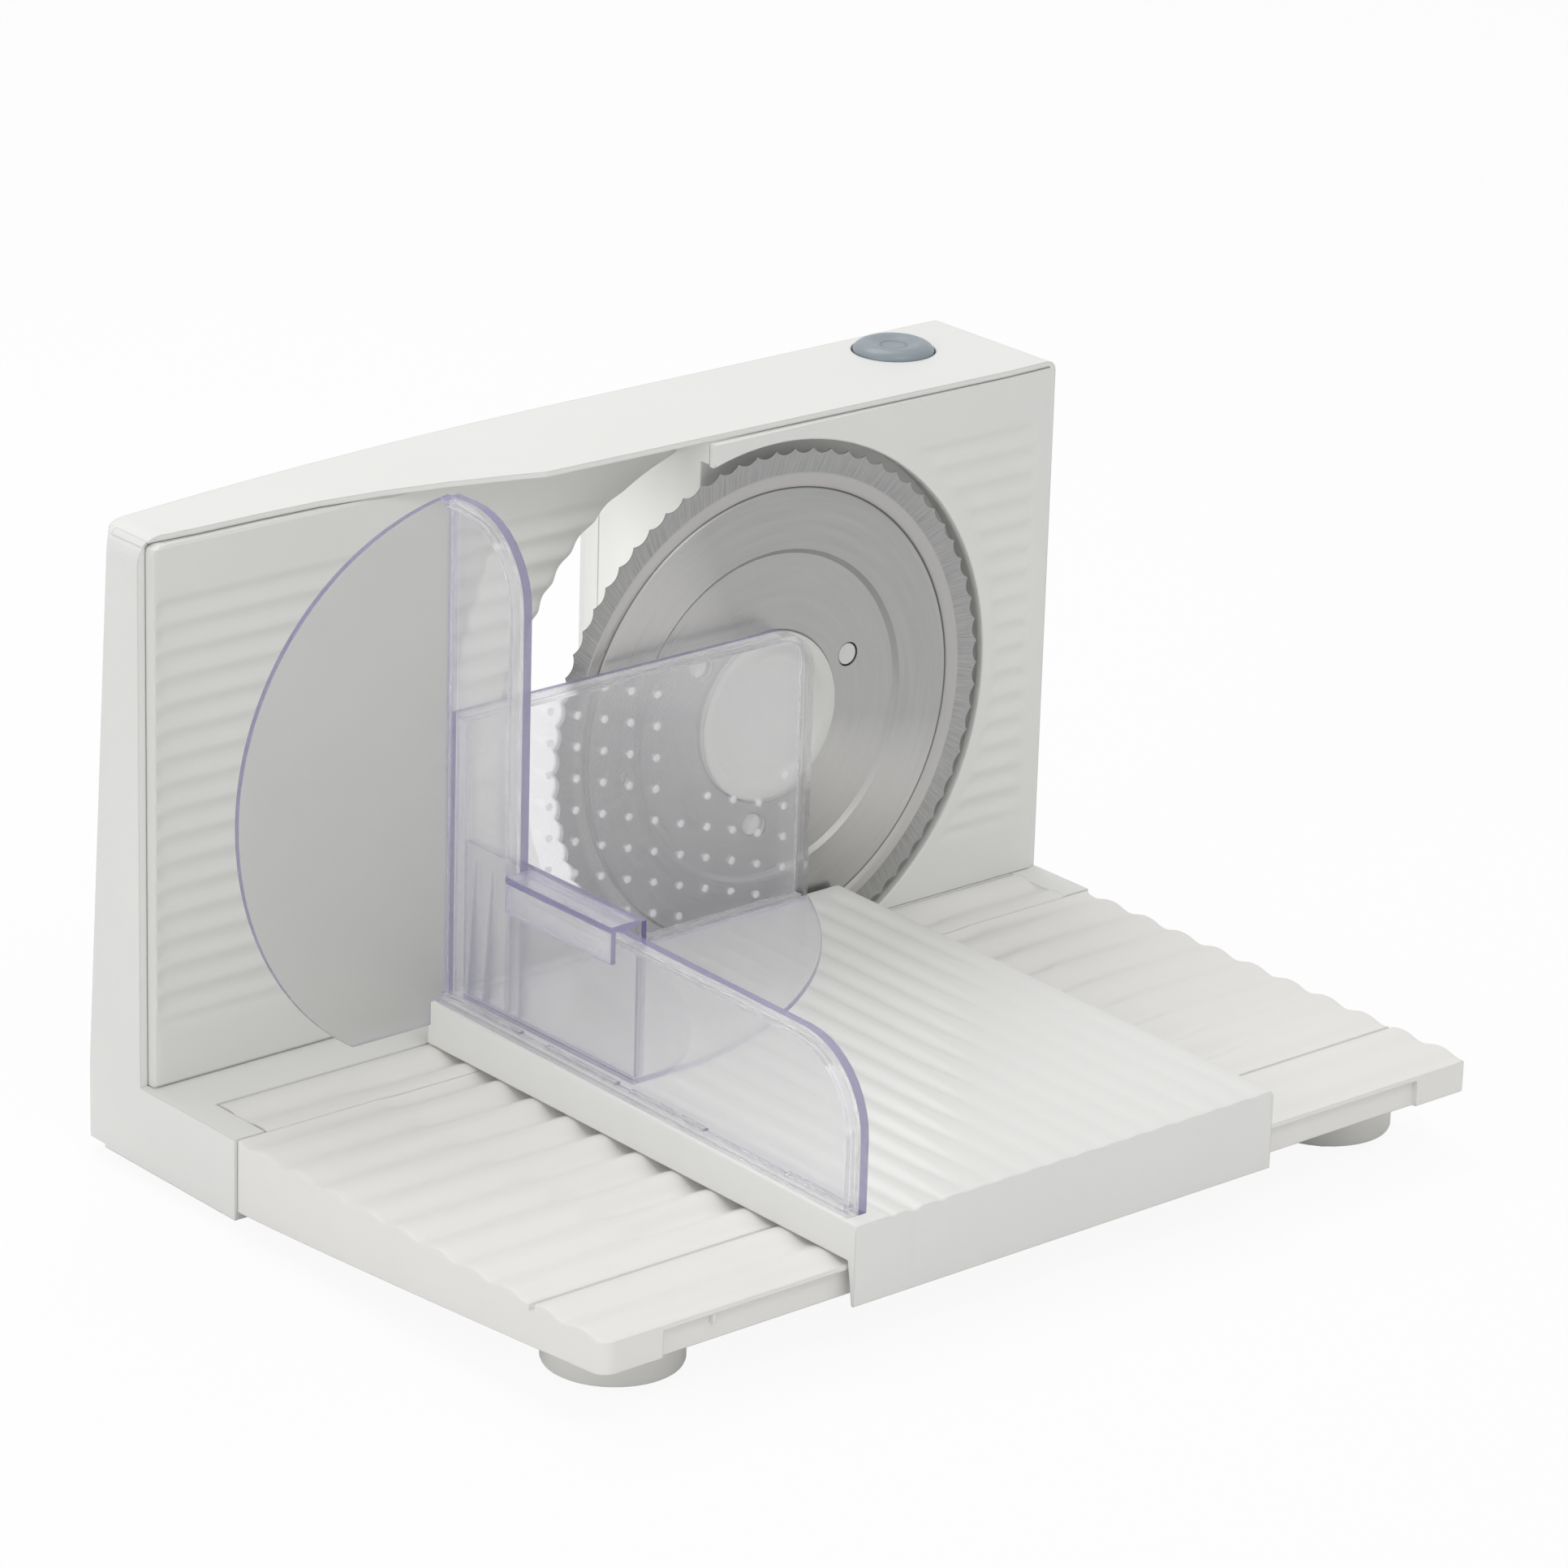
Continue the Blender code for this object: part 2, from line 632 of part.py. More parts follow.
def make_blade():
    """A dished disc whose edge runs in hollow arcs from tooth to tooth, cut for its drive holes."""
    per_tooth = 4
    ground = BLADE_RADIUS - GROUND_BAND
    ring_inner = ground - RAISED_RING
    thin = BLADE_THICKNESS * 0.35
    front = [
        (ground, 0.0),
        (ring_inner, 0.0004),
        (DISH_RADIUS + 0.002, DISH_DEPTH * 0.7),
        (DISH_RADIUS, DISH_DEPTH),
        (HUB_NECK_RADIUS + GLIDE / 2, DISH_DEPTH),
    ]

    def build(bm):
        edge_front = []
        edge_back = []
        for i in range(BLADE_TEETH * per_tooth):
            turn = 2 * pi * i / (BLADE_TEETH * per_tooth)
            wave = abs(sin(pi * i / per_tooth)) ** 0.8
            radius = BLADE_RADIUS - TOOTH_DEPTH * wave
            edge_front.append(bm.verts.new((radius * cos(turn), CLEARANCE, radius * sin(turn))))
            edge_back.append(bm.verts.new((radius * cos(turn), CLEARANCE + thin, radius * sin(turn))))
        sides = []
        for shift in (CLEARANCE, CLEARANCE + BLADE_THICKNESS):
            rings = []
            for radius, y in front:
                turns = [2 * pi * i / BLADE_TEETH for i in range(BLADE_TEETH)]
                rings.append([bm.verts.new((radius * cos(t), y + shift, radius * sin(t))) for t in turns])
            sides.append(rings)
        for edge, rings in zip((edge_front, edge_back), sides):
            for i in range(BLADE_TEETH):
                j = (i + 1) % BLADE_TEETH
                start = i * per_tooth
                tips = [edge[(start + k) % len(edge)] for k in range(per_tooth + 1)]
                bm.faces.new(tips + [rings[0][j], rings[0][i]])
            for one, two in zip(rings, rings[1:]):
                for i in range(BLADE_TEETH):
                    j = (i + 1) % BLADE_TEETH
                    bm.faces.new((one[i], one[j], two[j], two[i]))
        count = len(edge_front)
        for i in range(count):
            j = (i + 1) % count
            bm.faces.new((edge_front[i], edge_front[j], edge_back[j], edge_back[i]))
        for i in range(BLADE_TEETH):
            j = (i + 1) % BLADE_TEETH
            bm.faces.new((sides[0][-1][i], sides[0][-1][j], sides[1][-1][j], sides[1][-1][i]))

    blade = new_object("blade", build)
    for k in range(3):
        turn = 0.41 + k * 2 * pi / 3
        centre = (BLADE_HOLE_CIRCLE * cos(turn), BLADE_HOLE_CIRCLE * sin(turn))
        blade = combine(blade, rod("drive_hole", centre, BLADE_HOLE_RADIUS, -0.01, 0.01, "Y", 20))
    return blade


def make_hub_cap():
    """The white disc in front of the blade, with a stub that fills the blade's centre hole."""
    blade_front = DISH_DEPTH + CLEARANCE
    profile = [
        (0.0, HUB_FACE_BACK + 0.0002),
        (HUB_RADIUS - 0.002, HUB_FACE_BACK),
        (HUB_RADIUS - 0.0005, HUB_FACE_BACK + 0.0005),
        (HUB_RADIUS, blade_front - CLEARANCE),
        (0.0, blade_front - CLEARANCE),
    ]
    return turned("hub_cap", profile, 48)


def make_hub():
    """The neck that carries the blade's back and reaches through the housing to the gear."""
    back = DISH_DEPTH + BLADE_THICKNESS + 2 * CLEARANCE
    gear_front = GEAR_Y - GEAR_WIDTH / 2 - CLEARANCE
    bore = AXLE_RADIUS + BUSH_WALL + CLEARANCE
    profile = [
        (bore, DISH_DEPTH + 2 * CLEARANCE),
        (HUB_NECK_RADIUS - CLEARANCE, DISH_DEPTH + 2 * CLEARANCE),
        (HUB_NECK_RADIUS - CLEARANCE, back),
        (HUB_RADIUS - 0.002, back),
        (HUB_RADIUS - 0.002, back + 0.0015),
        (HUB_NECK_RADIUS, back + 0.0025),
        (HUB_NECK_RADIUS, gear_front),
        (bore, gear_front),
    ]
    return turned("blade_hub", profile, 24)


def toothed_ring(name, teeth, radius, depth, bore, start, end, twist):
    """A gear blank with straight-sided teeth, turned by the twist from its front to its back."""
    layers = 1

    def ring(y, turn_by):
        points = []
        for i in range(teeth):
            for share, r in ((-0.23, radius), (0.23, radius), (0.36, radius - depth), (0.64, radius - depth)):
                turn = 2 * pi * (i + share) / teeth + turn_by
                points.append((r * cos(turn), y, r * sin(turn)))
        return points

    rings = [ring(start + (end - start) * k / layers, twist * (k / layers - 0.5)) for k in range(layers + 1)]
    gear = loft(name, rings)
    return combine(gear, rod("bore", (0.0, 0.0), bore, start - 0.01, end + 0.01, "Y", 20))


def worm_pitch():
    return 2 * pi * (GEAR_RADIUS - 0.001) / GEAR_TEETH


def make_gear():
    tooth = 0.0018
    lead = atan2(worm_pitch(), 2 * pi * WORM_RADIUS)
    twist = -GEAR_WIDTH * sin(lead) / cos(lead) / GEAR_RADIUS
    bore = AXLE_RADIUS + BUSH_WALL + CLEARANCE
    start = GEAR_Y - GEAR_WIDTH / 2
    gear = toothed_ring("worm_wheel", GEAR_TEETH, GEAR_RADIUS, tooth, bore, start, start + GEAR_WIDTH, twist)
    for side in (-1, 1):
        hollow_start = GEAR_Y + side * GEAR_WIDTH * 0.25
        hollow_end = GEAR_Y + side * GEAR_WIDTH
        low, high = sorted((hollow_start, hollow_end))
        web = tube("web", (0.0, 0.0), GEAR_RADIUS - 0.005, HUB_NECK_RADIUS, low, high, "Y", 24)
        gear = combine(gear, web)
    return gear


def worm_height():
    return -(GEAR_RADIUS + WORM_RADIUS - 0.0006)


def make_worm():
    """A screw of one thread on the motor's shaft. Its thread runs out at both ends."""
    pitch = worm_pitch()
    around = 10
    turns = int(WORM_LENGTH / pitch)
    depth = 0.0015
    core = WORM_RADIUS - depth
    half_crest = pitch * 0.14
    half_root = pitch * 0.24
    start = -turns * pitch / 2

    def section(turn, x):
        ease = min(1.0, (turn) / 0.5, (turns - turn) / 0.5)
        crest = core + depth * max(0.12, ease)
        angle = pi * (2 * turn - turns - 0.5)
        rows = ((-half_root, core), (-half_crest, crest), (half_crest, crest), (half_root, core))
        return [(x + dx, r * cos(angle), r * sin(angle)) for dx, r in rows] + [
            (x + half_root, (core - 0.0008) * cos(angle), (core - 0.0008) * sin(angle)),
            (x - half_root, (core - 0.0008) * cos(angle), (core - 0.0008) * sin(angle)),
        ]

    steps = turns * around
    sections = [section(k / around, start + pitch * k / around) for k in range(steps + 1)]
    thread = loft("worm", sections)
    shaft_start = start - 0.006
    core_rod = rod("shaft", (0.0, 0.0), core - 0.0002, shaft_start, MOTOR_START + MOTOR_LENGTH + 0.004, "X", 20)
    worm = combine(thread, core_rod, "UNION")
    worm.data.transform(Matrix.Translation((0.0, GEAR_Y, worm_height())))
    worm.name = "motor_worm_shaft"
    return worm


def make_motor():
    z = worm_height()
    bore = WORM_RADIUS - 0.0015 + CLEARANCE
    end = MOTOR_START + MOTOR_LENGTH
    can = turned(
        "motor_can",
        [
            (bore, MOTOR_START),
            (MOTOR_RADIUS * 0.45, MOTOR_START),
            (MOTOR_RADIUS * 0.45, MOTOR_START + 0.002),
            (MOTOR_RADIUS - 0.002, MOTOR_START + 0.002),
            (MOTOR_RADIUS, MOTOR_START + 0.004),
            (MOTOR_RADIUS, end - MOTOR_BELL),
            (bore, end - MOTOR_BELL),
        ],
        24,
        (0.0, GEAR_Y, z),
        "X",
    )
    bell = turned(
        "motor_end_cap",
        [
            (bore, end - MOTOR_BELL + CLEARANCE),
            (MOTOR_RADIUS - 0.001, end - MOTOR_BELL + CLEARANCE),
            (MOTOR_RADIUS - 0.001, end - 0.003),
            (MOTOR_RADIUS * 0.5, end),
            (bore, end),
        ],
        24,
        (0.0, GEAR_Y, z),
        "X",
    )
    return can, bell


def make_motor_cradle():
    """A moulded bracket behind the housing's front wall that the motor's can lies in."""
    z = worm_height()
    x0 = MOTOR_START + CRADLE_FRONT_INSET
    x1 = MOTOR_START + MOTOR_LENGTH - CRADLE_BACK_INSET
    front = BLADE_POCKET + WALL + CLEARANCE
    half = MOTOR_RADIUS + CRADLE_WALL
    cradle = block("motor_cradle", (x0, front, z - half), (x1, GEAR_Y, z + half))
    seat_cut = rod("seat", (GEAR_Y, z), MOTOR_RADIUS + CLEARANCE, x0 - 0.01, x1 + 0.01, "X", 28)
    return combine(cradle, seat_cut)


def make_axle_bracket():
    """A bridge over the worm wheel whose feet stand on the housing's front wall."""
    front = BLADE_POCKET + WALL + CLEARANCE
    inner = GEAR_Y + GEAR_WIDTH / 2 + 0.002
    outer = inner + 0.004
    half = GEAR_RADIUS + 0.003
    arm = 0.006
    beam = block("axle_bracket", (-arm, inner, -arm), (arm, outer, half + arm))
    leg = block("leg", (-arm, front, half), (arm, outer, half + arm))
    beam = combine(beam, leg, "UNION")
    right_beam = block("right_beam", (0.0, inner, -arm), (half + arm, outer, arm))
    right_leg = block("right_leg", (half, front, -arm), (half + arm, outer, arm))
    beam = combine(beam, right_beam, "UNION")
    beam = combine(beam, right_leg, "UNION")
    boss = rod("boss", (0.0, 0.0), AXLE_RADIUS + 0.005, inner - 0.001, outer, "Y", 20)
    beam = combine(beam, boss, "UNION")
    return combine(beam, rod("hole", (0.0, 0.0), AXLE_RADIUS + CLEARANCE, 0.0, 0.2))


def make_bushes():
    front = DISH_DEPTH + 2 * CLEARANCE
    gear_back = GEAR_Y + GEAR_WIDTH / 2
    made = []
    for name, start, end in (("front_bush", front, front + 0.008), ("rear_bush", gear_back - 0.009, gear_back)):
        made.append(tube(name, (0.0, 0.0), AXLE_RADIUS + BUSH_WALL, AXLE_RADIUS + CLEARANCE, start, end))
    return made


def make_back_cover():
    """The casing's bulged back, a shell that is open to the front."""
    left = CASING_LEFT
    right = HOUSING_RIGHT
    low = -DECK_DROP + CLEARANCE
    high = HOUSING_TOP - 2 * SIDE_CORNER
    start = HOUSING_BACK + CLEARANCE

    def ring(y, inset, radius):
        outline = rounded((left + inset, low + inset), (right - inset, high - inset), (radius,) * 4, 5)
        return [(x, y, z) for x, z in outline]

    bulge = COVER_BULGE
    outer = [
        ring(start, 0.0, 0.008),
        ring(start + bulge * 0.45, 0.001, 0.008),
        ring(start + bulge * 0.8, 0.004, 0.008),
        ring(start + bulge - CLEARANCE, 0.011, 0.008),
    ]
    cover = loft("back_cover", outer)
    inner = [
        ring(start - 0.01, WALL, 0.006),
        ring(start + bulge * 0.45, WALL + 0.001, 0.006),
        ring(start + bulge * 0.8 - WALL / 2, WALL + 0.004, 0.006),
        ring(start + bulge - CLEARANCE - WALL, WALL + 0.010, 0.006),
    ]
    cover = combine(cover, loft("inside", inner))
    slots = []
    for k in range(7):
        x = MOTOR_START + 0.008 + k * 0.007
        slots.append(block("vent", (x, start + bulge * 0.5, -0.058), (x + 0.003, start + bulge + 0.01, -0.018)))
    cover = combine(cover, join_bodies("vents", slots))
    hole = GLAND_RADIUS + CLEARANCE
    gland = rod("gland_hole", (GLAND_X, GLAND_Z), hole, start, start + bulge + 0.01)
    return combine(cover, gland)


def make_inlet_gland():
    """The ring in the back cover that a mains lead would enter through."""
    y = HOUSING_BACK + COVER_BULGE
    profile = [
        (LEAD_RADIUS, y - 0.008),
        (0.0075, y - 0.008),
        (0.0075, y - WALL - 2 * CLEARANCE),
        (GLAND_RADIUS, y - WALL - 2 * CLEARANCE),
        (GLAND_RADIUS, y),
        (LEAD_RADIUS, y),
    ]
    return turned("inlet_gland", profile, 24, (GLAND_X, 0.0, GLAND_Z))


def make_button():
    rest = HOUSING_TOP + BUTTON_PROUD
    under = INNER_TOP - BUTTON_TRAVEL - BUTTON_SKIRT
    profile = [
        (0.0, rest - 0.0012),
        (BUTTON_RADIUS * 0.35, rest - 0.0009),
        (BUTTON_RADIUS * 0.6, rest),
        (BUTTON_RADIUS * 0.85, rest - 0.0008),
        (BUTTON_RADIUS, HOUSING_TOP),
        (BUTTON_RADIUS, INNER_TOP - GLIDE),
        (BUTTON_RADIUS, under + 0.0015),
        (BUTTON_RADIUS, under),
        (0.003, under),
        (0.003, under - BUTTON_SKIRT),
        (0.0, under - BUTTON_SKIRT),
    ]
    return turned("push_button", profile[::-1], 28, (BUTTON_X, BUTTON_Y, 0.0), "Z")


def spring_bottom():
    return INNER_TOP - SPRING_SEAT_DEPTH


def make_switch():
    """A snap switch under the button, on a shelf of the housing's front wall."""
    top = spring_bottom()
    front = BLADE_POCKET + WALL + CLEARANCE
    box = block(
        "switch",
        (BUTTON_X - SWITCH_HALF_WIDTH, front, top - SWITCH_HEIGHT),
        (BUTTON_X + SWITCH_HALF_WIDTH, BUTTON_Y + SWITCH_MARGIN, top),
    )
    plunger_top = INNER_TOP - 2 * (BUTTON_TRAVEL + BUTTON_SKIRT) - CLEARANCE
    plunger = rod("plunger", (BUTTON_X, BUTTON_Y), 0.002, top - 0.001, plunger_top, "Z", 16)
    return combine(box, plunger, "UNION")


def make_spring():
    """A closed coil under the button, drawn as a helix of round wire."""
    top = INNER_TOP - BUTTON_TRAVEL - BUTTON_SKIRT - CLEARANCE
    bottom = spring_bottom() + CLEARANCE
    wire = 0.0006
    radius = 0.0065
    turns = 5
    around = 10
    curve = bpy.data.curves.new("button_spring", "CURVE")
    curve.dimensions = "3D"
    curve.bevel_depth = wire
    curve.bevel_resolution = 1
    curve.use_fill_caps = True
    spline = curve.splines.new("POLY")
    count = turns * around
    spline.points.add(count)
    for i in range(count + 1):
        turn = 2 * pi * i / around
        z = bottom + wire + (top - bottom - 2 * wire) * i / count
        spline.points[i].co = (BUTTON_X + radius * cos(turn), BUTTON_Y + radius * sin(turn), z, 1.0)
    holder = bpy.data.objects.new("coil", curve)
    bpy.context.scene.collection.objects.link(holder)
    graph = bpy.context.evaluated_depsgraph_get()
    mesh = bpy.data.meshes.new_from_object(holder.evaluated_get(graph))
    bpy.data.objects.remove(holder, do_unlink=True)
    made = bpy.data.objects.new("button_spring", mesh)
    bpy.context.scene.collection.objects.link(made)
    return made


def knob_seat():
    """The back wall bows, so the knob clears the part of it that stands out the furthest."""
    return back_edge(KNOB_X + KNOB_RADIUS, KNOB_Z - KNOB_RADIUS) + GLIDE


def make_knob():
    """The slice thickness knob on the back of the left column, with finger scallops."""
    start = knob_seat()
    scallops = 12
    steps = 4

    def ring(y, radius, depth):
        points = []
        for i in range(scallops * steps):
            turn = 2 * pi * i / (scallops * steps)
            r = radius - depth * (0.5 - 0.5 * cos(scallops * turn))
            points.append((KNOB_X + r * cos(turn), y, KNOB_Z + r * sin(turn)))
        return points

    end = start + KNOB_LENGTH
    rings = [
        ring(start, KNOB_RADIUS, 0.0),
        ring(start + 0.003, KNOB_RADIUS, 0.0),
        ring(start + 0.0035, KNOB_RADIUS - 0.0015, 0.0012),
        ring(end - 0.0015, KNOB_RADIUS - 0.003, 0.0012),
        ring(end, KNOB_RADIUS - 0.0045, 0.0008),
    ]
    knob = loft("thickness_knob", rings)
    bore = rod("bore", (KNOB_X, KNOB_Z), SPINDLE_RADIUS + CLEARANCE, start - 0.01, end - 0.004)
    return combine(knob, bore)


def make_spindle():
    """The coarse-threaded spindle that the knob turns inside the stop plate's nut."""
    end = knob_seat() + KNOB_LENGTH - 0.004 - CLEARANCE
    start = STOP_FACE + PLATE_THICKNESS + CLEARANCE
    return rod("thickness_spindle", (KNOB_X, KNOB_Z), SPINDLE_RADIUS, start, end)


def make_guide_rods():
    made = []
    for name, side in (("lower_guide_rod", -1), ("upper_guide_rod", 1)):
        z = KNOB_Z + side * GUIDE_ROD_SPREAD
        end = back_edge(KNOB_X, z)
        start = STOP_FACE + PLATE_THICKNESS + CLEARANCE
        made.append(rod(name, (KNOB_X, z), GUIDE_ROD_RADIUS, start, end))
    return made


def platform_top(y):
    return -DECK_DROP - WAVE_DEPTH * (0.5 + 0.5 * cos(2 * pi * (y - GROOVE_Y) / WAVE_PITCH + pi))


def platform_underside(y):
    """The side walls get lower towards the front."""
    share = (-ARM_REACH - y) / (PLATFORM_REACH - ARM_REACH)
    height = PLATFORM_BACK_HEIGHT + (PLATFORM_FRONT_HEIGHT - PLATFORM_BACK_HEIGHT) * share**1.15
    return -DECK_DROP - height


def make_platform():
    front = -PLATFORM_REACH
    back = -ARM_REACH - CLEARANCE
    steps = 63
    stations = [front + (back - front) * i / steps for i in range(steps + 1)]
    profile = [(y, platform_top(y)) for y in stations]
    profile += [(y, platform_underside(y)) for y in reversed(stations[::7])]
    side = 0.0008
    platform = prism("platform", profile, "X", -HOUSING_LEFT + side, HOUSING_RIGHT - side)
    plan = rounded(
        (-HOUSING_LEFT + side, front),
        (HOUSING_RIGHT - side, back + 0.002),
        (PLATFORM_CORNER, PLATFORM_CORNER, 0.0, 0.0),
        6,
    )
    platform = combine(platform, prism("plan", plan, "Z", -0.2, 0.0), "INTERSECT")
    tongue_back = -CLEARANCE
    tongue_stations = [back - 0.004 + (tongue_back - back + 0.004) * i / 14 for i in range(15)]
    tongue_profile = [(y, platform_top(y)) for y in tongue_stations]
    tongue_low = -DECK_DROP - PLATFORM_BACK_HEIGHT
    tongue_profile += [(tongue_back, tongue_low), (tongue_stations[0], tongue_low)]
    inner = ARM_WIDTH + CLEARANCE
    tongue = prism(
        "tongue", tongue_profile, "X", -HOUSING_LEFT + inner, HOUSING_RIGHT - inner
    )
    platform = combine(platform, tongue, "UNION")
    hollow_front = front + 3 * WALL
    hollow_stations = [hollow_front + (-WALL - CLEARANCE - hollow_front) * i / 6 for i in range(7)]
    lid = -DECK_DROP - WAVE_DEPTH - WALL
    low = -0.2
    hollow_profile = [(hollow_stations[0], lid), (hollow_stations[-1], lid), (hollow_stations[-1], low), (hollow_stations[0], low)]
    hollow = prism(
        "hollow",
        hollow_profile,
        "X",
        -HOUSING_LEFT + inner + WALL,
        HOUSING_RIGHT - inner - WALL,
    )
    platform = combine(platform, hollow)
    groove = block(
        "groove",
        (-0.5, GROOVE_Y - GROOVE_WIDTH / 2, -DECK_DROP - GROOVE_DEPTH),
        (0.5, GROOVE_Y + GROOVE_WIDTH / 2, 0.0),
    )
    platform = combine(platform, groove)
    block_right = CORNER_BLOCK + side
    recess = block(
        "front_recess",
        (-HOUSING_LEFT + block_right, front - 0.01, -0.2),
        (HOUSING_RIGHT - block_right, front + 0.0016, -DECK_DROP - WAVE_DEPTH - PLATFORM_LIP),
    )
    platform = combine(platform, recess)
    for x in (LEFT_FOOT_X, RIGHT_FOOT_X):
        room = rod("foot_room", (x, FOOT_Y), FOOT_RADIUS + CLEARANCE, -0.2, foot_seat(), "Z", 28)
        platform = combine(platform, room)
        stem = rod("foot_boss", (x, FOOT_Y), FOOT_RADIUS * 0.6, foot_seat(), lid + 0.001, "Z", 20)
        platform = combine(platform, stem, "UNION")
    for x in (-HOUSING_LEFT + ARM_WIDTH, HOUSING_RIGHT - ARM_WIDTH):
        hole = rod(
            "pin_hole",
            (HINGE_Y, -HINGE_DROP),
            HINGE_PIN_RADIUS + CLEARANCE,
            x - ARM_WIDTH / 2,
            x + ARM_WIDTH / 2,
            "X",
        )
        platform = combine(platform, hole)
    return platform


def foot_seat():
    return platform_underside(FOOT_Y - FOOT_RADIUS) + CLEARANCE


def make_platform_feet():
    """Wide white feet, hollow above, that screw to the bosses under the platform."""
    made = []
    top = foot_seat() - CLEARANCE
    low = -STANDING_DROP + PAD_HEIGHT
    for name, x in (("left_platform_foot", LEFT_FOOT_X), ("right_platform_foot", RIGHT_FOOT_X)):
        profile = [
            (0.0, top),
            (0.0, low + 0.0016),
            (FOOT_RADIUS - 0.004, low + 0.0016),
            (FOOT_RADIUS - 0.004, low),
            (FOOT_RADIUS - 0.001, low),
            (FOOT_RADIUS, low + 0.001),
            (FOOT_RADIUS, top),
        ]
        made.append(turned(name, profile[1:] + profile[:1], 28, (x, FOOT_Y, 0.0), "Z"))
    return made


def make_foot_pads():
    made = []
    low = -STANDING_DROP
    for name, x in (("left_foot_pad", LEFT_FOOT_X), ("right_foot_pad", RIGHT_FOOT_X)):
        profile = [
            (0.0, low),
            (FOOT_RADIUS - 0.0045, low),
            (FOOT_RADIUS - 0.0045, low + PAD_HEIGHT + 0.0013),
            (0.0, low + PAD_HEIGHT + 0.0013),
        ]
        made.append(turned(name, profile, 24, (x, FOOT_Y, 0.0), "Z"))
    return made


def make_rear_feet():
    made = []
    names = ("left_front_rubber", "left_back_rubber", "right_front_rubber", "right_back_rubber")
    for name, place in zip(names, base_posts()):
        made.append(rod(name, place, REAR_FOOT_RADIUS, -STANDING_DROP, -HOUSING_DROP - CLEARANCE, "Z", 20))
    return made


def make_hinge_pins():
    made = []
    length = ARM_WIDTH - 4 * CLEARANCE
    for name, x in (
        ("left_hinge_pin", -HOUSING_LEFT + ARM_WIDTH),
        ("right_hinge_pin", HOUSING_RIGHT - ARM_WIDTH),
    ):
        made.append(rod(name, (HINGE_Y, -HINGE_DROP), HINGE_PIN_RADIUS, x - length / 2, x + length / 2, "X"))
    return made


def carriage_top(y):
    share = (-CARRIAGE_BACK_GAP - y) / (-CARRIAGE_BACK_GAP - CARRIAGE_FRONT)
    return -CARRIAGE_TOP_DROP - CARRIAGE_FRONT_DIP * share


def make_carriage():
    """A sliding table with ribs along the cut, open below, whose skirt hangs over the platform."""
    back = -CARRIAGE_BACK_GAP
    front = CARRIAGE_FRONT
    under = -DECK_DROP + GLIDE
    flat = PANEL_RIGHT + 0.003
    pitch = (CARRIAGE_RIGHT - 0.002 - flat) / CARRIAGE_RIBS
    per_rib = 4
    tops = [(CARRIAGE_LEFT, 0.0), (flat, 0.0)]
    for i in range(1, CARRIAGE_RIBS * per_rib):
        x = flat + pitch * i / per_rib
        tops.append((x, -CARRIAGE_RIB_DEPTH * (1 - abs(sin(pi * i / per_rib)))))
    tops += [(CARRIAGE_RIGHT - 0.002, 0.0), (CARRIAGE_RIGHT, -0.0006)]

    def ring(y):
        points = [(x, y, carriage_top(y) + dz) for x, dz in tops]
        return points + [(CARRIAGE_RIGHT, y, under), (CARRIAGE_LEFT, y, under)]

    carriage = loft("carriage", [ring(front), ring(front + WALL), ring(back)])
    skirt_low = carriage_top(front) - SKIRT_HEIGHT
    skirt_outline = rounded(
        (CARRIAGE_LEFT, skirt_low),
        (CARRIAGE_RIGHT, under + 0.002),
        (0.0015, 0.0015, 0.0, 0.0),
    )
    carriage = combine(carriage, prism("skirt", skirt_outline, "Y", front, front + WALL), "UNION")
    lid_drop = CARRIAGE_RIB_DEPTH + WALL
    cavity = loft(
        "cavity",
        [
            [
                (CARRIAGE_LEFT + WALL, y, -0.2),
                (CARRIAGE_RIGHT - WALL, y, -0.2),
                (CARRIAGE_RIGHT - WALL, y, carriage_top(y) - lid_drop),
                (CARRIAGE_LEFT + WALL, y, carriage_top(y) - lid_drop),
            ]
            for y in (front + 2 * WALL, back - WALL)
        ],
    )
    carriage = combine(carriage, cavity)
    key = block(
        "groove_key",
        (CARRIAGE_LEFT + 0.004, GROOVE_Y - GROOVE_WIDTH / 2 + CLEARANCE, -DECK_DROP - GROOVE_DEPTH + GLIDE),
        (CARRIAGE_RIGHT - 0.004, GROOVE_Y + GROOVE_WIDTH / 2 - CLEARANCE, -CARRIAGE_TOP_DROP - 0.004),
    )
    return combine(carriage, key, "UNION")


def guard_outline(inset):
    """The guard's side panel from the cutting plane to its low front end, drawn in by the inset."""
    back = -CARRIAGE_BACK_GAP - inset
    low = carriage_top(-GUARD_TALL_DEPTH) + GLIDE + inset
    low_front = carriage_top(CARRIAGE_FRONT + 0.004) + GLIDE + inset
    tall_front = -GUARD_TALL_DEPTH + inset
    wall_top = -GUARD_LOW_TOP_DROP - inset
    nose = CARRIAGE_FRONT + 0.0045 + inset
    big = GUARD_ARC - inset
    fillet = 0.004 + inset
    points = [(back, low), (back, GUARD_TOP - inset)]
    points += arc((tall_front + big * 0.95, GUARD_TOP - inset - big), big * 0.95, pi / 2, pi, 10)
    points += arc((tall_front - fillet, wall_top + fillet), fillet, 0.0, -pi / 2, 5)
    points += arc((nose + big, wall_top - big), big, pi / 2, pi, 10)
    points.append((nose, low_front))
    return points


